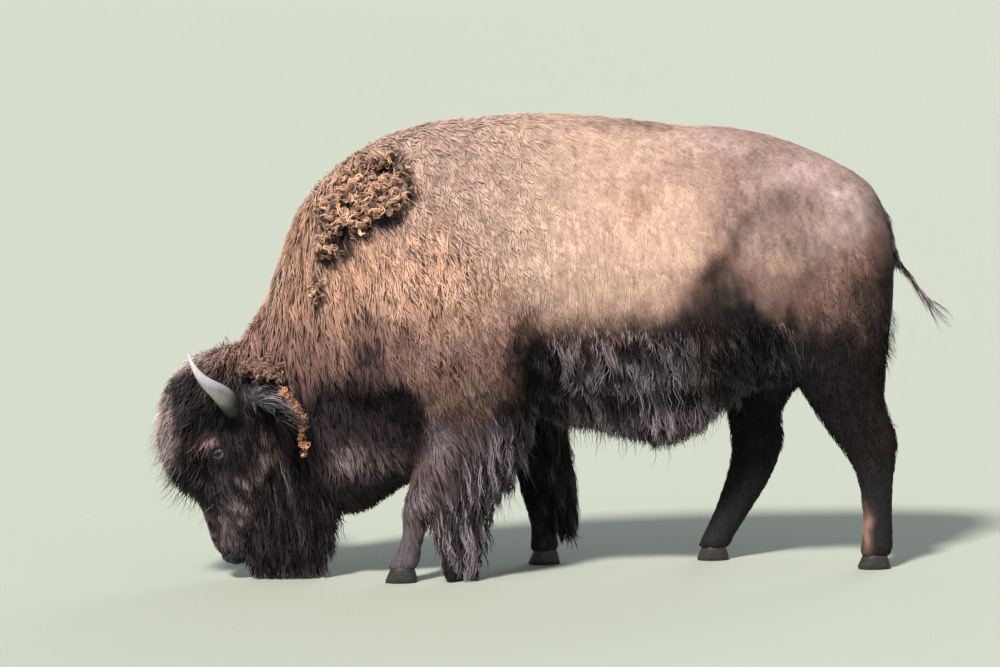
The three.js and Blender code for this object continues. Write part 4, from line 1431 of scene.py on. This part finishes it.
def curls(name, roots, size, thickness, strands):
    """Locks of shed wool: bundles of strands that wander over the mat and stand a little off it."""
    count = len(roots["place"])
    normal = roots["normal"]
    ahead = unit(np.cross(normal, rng.normal(size=(count, 3))))
    aside = np.cross(normal, ahead)
    t = np.linspace(0, 1, CURL_STATIONS)
    turn, sway = rng.uniform(-6.0, 6.0, count), rng.uniform(0.5, 2.0, count)
    phase = rng.uniform(0, 2 * np.pi, count)
    angle = turn[:, None] * t + sway[:, None] * np.sin(6 * t + phase[:, None])
    step = (size * rng.uniform(2.0, 5.5, count) / CURL_STATIONS)[:, None]
    forth = np.cumsum(np.cos(angle) * step, axis=1)
    over = np.cumsum(np.sin(angle) * step, axis=1)
    lift = size * (rng.uniform(0.1, 1.1, count)[:, None] * np.sin(np.pi * t) - 0.1)
    paths = (roots["place"][:, None] + ahead[:, None] * forth[..., None]
             + aside[:, None] * over[..., None] + normal[:, None] * lift[..., None])
    bundle = np.repeat(np.arange(count), strands)
    roots = pick_roots(roots, bundle)
    apart = thickness * 1.3 * np.linspace(0.7, 1.6, len(t))[:, None]
    spread_out = rng.normal(size=(len(bundle), 1, 3)) * apart
    roots["chance"] = 0.7 * roots["chance"] + 0.3 * rng.random(len(bundle))
    widths = thickness * rng.uniform(0.7, 1.3, len(bundle))[:, None] * CURL_WIDTHS
    return build_piece(name, paths[bundle] + spread_out, widths, roots, SOFTNESS["dark_hair"], shed_paint)


# %% Make the mats
for name, (balls, stand, colour, amount, size, thickness, strands, between) in MATS.items():
    melt = bmesh.new()
    for behind, up, radius in balls:
        ball = bmesh.ops.create_icosphere(melt, subdivisions=3, radius=radius)
        bmesh.ops.translate(melt, verts=ball["verts"], vec=against(behind, up, stand))
    core = put_in_scene(name + "_core", pour(melt, bpy.data.meshes.new(name + "_core")))
    make_one_surface(core, MAT_VOXEL)
    mesh = unwrap(core)
    count = len(mesh.vertices)
    places = read_points(mesh)
    shade = mix(colour * 0.6, colour * 1.2, soft_step(ripple(places, 0.03, 21), -0.9, 0.6))
    surface = surface_of(mesh, np.zeros(count, dtype=int), shade=shade)
    # painted shade: the core, seen only in the hollows between curls, takes a darker share of the wool's
    # colour
    paint(mesh, "markings", shade * between)
    paint(mesh, "bare", np.zeros(count))
    make_smooth(mesh)
    mesh.materials.append(skin_material)
    hand_over(core)
    amount = float(amount) * (1 - np.max([spot(places, *gap) > 0.3 for gap in MAT_GAPS], axis=0))
    hand_over(curls(name, spread_roots(surface, amount), size, thickness, strands))

# %% [markdown]
# ## Horns, eyes and hooves
# The hard parts stay apart from the skin, as they do on the animal. A horn is a keratin sheath
# over a bony core; it grows from its base, so rings lie close together there and the tip is old
# and worn smooth. It is lofted in rings along the middle line of the frame's own horn.


# %% Lofting helper
def loft_rings(name, rings, material, capped=True):
    """A closed mesh from rings of points: capped at both ends, or joined round end to end."""
    count, around, _ = rings.shape
    index = np.arange(count * around).reshape(count, around)
    here = index[:-1] if capped else index
    there = index[1:] if capped else np.roll(index, -1, axis=0)
    quads = np.stack([here, np.roll(here, -1, axis=1), np.roll(there, -1, axis=1), there], axis=-1)
    faces = quads.reshape(-1, 4).tolist()
    if capped:
        faces += [index[0].tolist(), index[-1].tolist()]
    mesh = bpy.data.meshes.new(name)
    mesh.from_pydata([tuple(p) for p in rings.reshape(-1, 3)], [], faces)
    sides = bmesh.new()
    sides.from_mesh(mesh)
    bmesh.ops.recalc_face_normals(sides, faces=sides.faces)
    make_smooth(pour(sides, mesh))
    paint(mesh, "along", np.repeat(np.linspace(0, 1, count), around))
    mesh.materials.append(material)
    piece = put_in_scene(name, mesh)
    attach(piece, "root")
    return piece


def ramp(nodes, value, stops):
    """A colour ramp: colours at named places of a value."""
    node = nodes.add("ValToRGB", Fac=value)
    elements = node.color_ramp.elements
    while len(elements) < len(stops):
        elements.new(0.5)
    for element, (place, colour) in zip(elements, stops):
        element.position = place
        element.color = (*colour, 1.0)
    return node.outputs[0]


# %% Horn finish
horn_paint, nodes, shader = new_paint("horn_sheath", Roughness=0.42, Specular_IOR_Level=0.5)
object_place = nodes.add("TexCoord").outputs["Object"]
along = nodes.attribute("along")
wear = nodes.noise(object_place, 45.0, 4.0, 0.65)
ragged = nodes.math("ADD", along, nodes.math("MULTIPLY", nodes.math("SUBTRACT", wear, 0.5), 0.16))
sheath = ramp(nodes, ragged, [
    (0.00, (0.020, 0.020, 0.014)), (0.27, (0.050, 0.048, 0.036)), (0.34, (0.16, 0.155, 0.14)),
    (0.42, (0.36, 0.345, 0.34)), (0.70, (0.58, 0.55, 0.57)), (1.00, (0.46, 0.42, 0.42))])
streaks = nodes.noise(nodes.stretch(object_place, (1.0, 1.0, 0.25)), 160.0, 3.0)
streaks = nodes.add("MapRange", i0=streaks, i1=0.3, i2=0.7, i3=0.78, i4=1.08).outputs[0]
nodes.put(shader.inputs["Base Color"], nodes.scale(sheath, streaks))
raise_grain(nodes, shader, wear, 0.5, 0.0015)

# %% Horn sheaths
HORN_RINGS, HORN_AROUND = 90, 40
RINGS_IN_SHEATH = 30
HORN_POINT = 0.0035
HORN_GIRTH = [(0, 0.038), (0.2, 0.038), (0.4, 0.036), (0.55, 0.029), (0.7, 0.021), (0.85, 0.0135),
              (0.94, 0.008), (1.0, HORN_POINT)]  # share of its length, radius
turn = np.linspace(0, 2 * np.pi, HORN_AROUND, endpoint=False)
for side, sign in SIDES.items():
    horn_points = node_points(f"horn_{side}")
    spine = spine_of(horn_points, horn_roots[side], -sign * to_left, 0.030)
    spine = np.vstack([spine, horn_points[np.argmax(horn_points[:, 2])]])
    walked = np.append(0, np.cumsum(np.linalg.norm(np.diff(spine, axis=0), axis=1)))
    share = walked / walked[-1]
    t = np.linspace(0, 1, HORN_RINGS)
    path = np.stack([np.polyval(np.polyfit(share, spine[:, k], 4), t) for k in range(3)], axis=1)
    radius = np.polyval(np.polyfit(*np.array(HORN_GIRTH).T, 4), t)
    radius = np.maximum(radius, HORN_POINT) * (1 - soft_step(t, 0.985, 1.03) * 0.8)
    radius *= 1 + 0.014 * np.sin(2 * np.pi * RINGS_IN_SHEATH * t) * (1 - t) ** 1.5
    heading = unit(np.gradient(path, axis=0))
    across = unit(np.cross(heading, down_face))
    up = np.cross(across, heading)
    rings = path[:, None] + radius[:, None, None] * (
        across[:, None] * np.cos(turn)[None, :, None] + up[:, None] * np.sin(turn)[None, :, None])
    piece = loft_rings(f"horn_sheath_{side}", rings, horn_paint)
    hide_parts(f"horn_{side}")
    print(piece.name, "is", round(walked[-1], 3), "m long and", round(2 * radius.max(), 3), "m thick")

# %% [markdown]
# ## Eyes
# A bison's eye is nearly black and sits at the side of the head under a heavy brow. The lids are
# folds of skin that hug the ball. The skin's faces are too large there to give a sharp edge, so the
# lids are made as one band round the opening, lying on the ball and sinking into the skin at its
# outer edge.

# %% Finishes of eye and lids
eye_paint, nodes, shader = new_paint("wet_eye", Roughness=0.05, Specular_IOR_Level=0.45)
iris = ramp(nodes, nodes.attribute("along"), [
    (0.0, (0.002, 0.002, 0.003)), (0.16, (0.003, 0.0025, 0.003)), (0.20, (0.030, 0.014, 0.008)),
    (0.36, (0.020, 0.010, 0.006)), (0.40, (0.07, 0.050, 0.045)), (1.0, (0.12, 0.09, 0.08))])
nodes.put(shader.inputs["Base Color"], iris)
lid_paint, nodes, shader = new_paint("lid_leather", Roughness=0.45, Specular_IOR_Level=0.45)
fold = nodes.noise(nodes.add("TexCoord").outputs["Object"], 220.0, 3.0)
nodes.put(shader.inputs["Base Color"], ramp(nodes, fold, [
    (0.3, (0.018, 0.015, 0.017)), (0.7, (0.060, 0.050, 0.055))]))
raise_grain(nodes, shader, fold, 0.6, 0.0012)

# %% Eyes and lids
EYE_RADIUS = (corners("eye_left")[1][2] - corners("eye_left")[0][2]) / 2
LID_SECTION = [  # degrees outside the opening, share of the ball's radius
    (-3, 0.97), (-3, 1.05), (1, 1.14), (9, 1.20), (17, 1.13), (26, 1.22), (38, 1.20), (52, 1.05),
    (52, 0.75), (12, 0.70)]
OPENING = {"long": 58.0, "upper": 27.0, "lower": 26.0}
for side in SIDES:
    centre, gaze, slit, upper = eye_frames[side]
    polar = np.radians(np.linspace(0.5, 179.5, 32))
    turn = np.linspace(0, 2 * np.pi, 36, endpoint=False)
    spin = np.cos(turn)[None, :, None] * slit + np.sin(turn)[None, :, None] * upper
    ball = centre + EYE_RADIUS * (np.cos(polar)[:, None, None] * gaze
                                  + np.sin(polar)[:, None, None] * spin)
    eyeball = loft_rings(f"eyeball_{side}", ball, eye_paint)
    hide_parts(f"eye_{side}")
    height = np.where(np.sin(turn) > 0, OPENING["upper"], OPENING["lower"])
    edge = 1 / np.hypot(np.cos(turn) / OPENING["long"], np.sin(turn) / height)
    rings = []
    for outside, reach in LID_SECTION:
        angle = np.radians(edge + outside)
        rings.append(centre + EYE_RADIUS * reach * (np.cos(angle)[:, None] * gaze
                                                    + np.sin(angle)[:, None] * spin[0]))
    lids = loft_rings(f"eyelids_{side}", np.array(rings), lid_paint, capped=False)
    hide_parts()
print("each eye is", round(2 * EYE_RADIUS, 3), "m across")

# %% [markdown]
# ## Hooves
# Each foot stands on two claws. A claw is a horn wall that slopes forward to a blunt toe, with a
# flat sole on the ground. It is lofted in level rings, each a little farther back than the last,
# because the sole has to stay flat. Two small dewclaws hang behind every foot, clear of the floor.

# %% Finish of the claws
claw_paint, nodes, shader = new_paint("claw_horn", Roughness=0.5, Specular_IOR_Level=0.4)
object_place = nodes.add("TexCoord").outputs["Object"]
layers = nodes.noise(nodes.stretch(object_place, (0.15, 0.15, 1.0)), 260.0, 3.0)
nodes.put(shader.inputs["Base Color"], ramp(nodes, layers, [
    (0.3, (0.009, 0.008, 0.008)), (0.7, (0.034, 0.029, 0.027))]))
raise_grain(nodes, shader, layers, 0.5, 0.0012)

# %% Claws
CLAW_AROUND = 28
CLAW_LEVELS = [(0.0, 0.0, 0.93), (0.04, 0.0, 1.0), (0.35, 0.10, 0.99), (0.75, 0.22, 0.94),
               (1.05, 0.31, 0.86), (1.35, 0.40, 0.62), (1.45, 0.48, 0.30)]
turn = np.linspace(0, 2 * np.pi, CLAW_AROUND, endpoint=False)
for end in ("fore", "hind"):
    for side in SIDES:
        for part, partner in (("inner", "outer"), ("outer", "inner")):
            node = f"hoof_{end}_{side}_{part}"
            low, high = corners(node)
            half = (high - low) / 2
            centre = (low + high) / 2
            inward = np.sign(middle(f"hoof_{end}_{side}_{partner}")[1] - centre[1])
            rings = []
            for level, back, size in CLAW_LEVELS:
                toe = np.clip(-np.cos(turn), 0, 1)
                x = np.cos(turn) * half[0] * size
                x = np.where(x < 0, x * (1 - back), x * (1 - 0.25 * back))
                y = np.sin(turn) * half[1] * size * (1 - 0.45 * toe ** 3)
                y = np.sign(y) * np.minimum(np.abs(y), np.where(np.sign(y) == inward, 0.86, 1) * half[1])
                y = y + inward * half[1] * 0.25 * toe ** 2
                y = np.clip(y, -half[1], half[1])
                z = np.full(CLAW_AROUND, low[2] + level * 2 * half[2])
                rings.append(np.stack([centre[0] + x, centre[1] + y, z], axis=1))
            claw = loft_rings(f"claw_{end}_{side}_{part}", np.array(rings), claw_paint)
            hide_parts(node)

# %% Dewclaws
DEWCLAW = (0.011, 0.009, 0.015)  # half its length, width and height
DEWCLAW_UP, DEWCLAW_BEHIND = 0.082, 0.024
dewclaws = bmesh.new()
for end in ("fore", "hind"):
    for side in SIDES:
        inner, outer = corners(f"hoof_{end}_{side}_inner"), corners(f"hoof_{end}_{side}_outer")
        low, high = np.minimum(inner[0], outer[0]), np.maximum(inner[1], outer[1])
        for share in (0.30, 0.70):
            bud = bmesh.ops.create_icosphere(dewclaws, subdivisions=3, radius=1.0)
            across = low[1] + share * (high[1] - low[1])
            bmesh.ops.scale(dewclaws, verts=bud["verts"], vec=DEWCLAW)
            bmesh.ops.translate(dewclaws, verts=bud["verts"],
                                vec=(high[0] - DEWCLAW_BEHIND, across, DEWCLAW_UP))
mesh = pour(dewclaws, bpy.data.meshes.new("dewclaws"))
make_smooth(mesh)
mesh.materials.append(claw_paint)
dewclaw = put_in_scene("dewclaws", mesh)
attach(dewclaw, "root")
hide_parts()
print("dewclaws stand", round(min(read_points(mesh)[:, 2]), 3), "m clear of the floor")

# %% Hand over the skin
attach(skin, "root")
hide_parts(*FLESH)
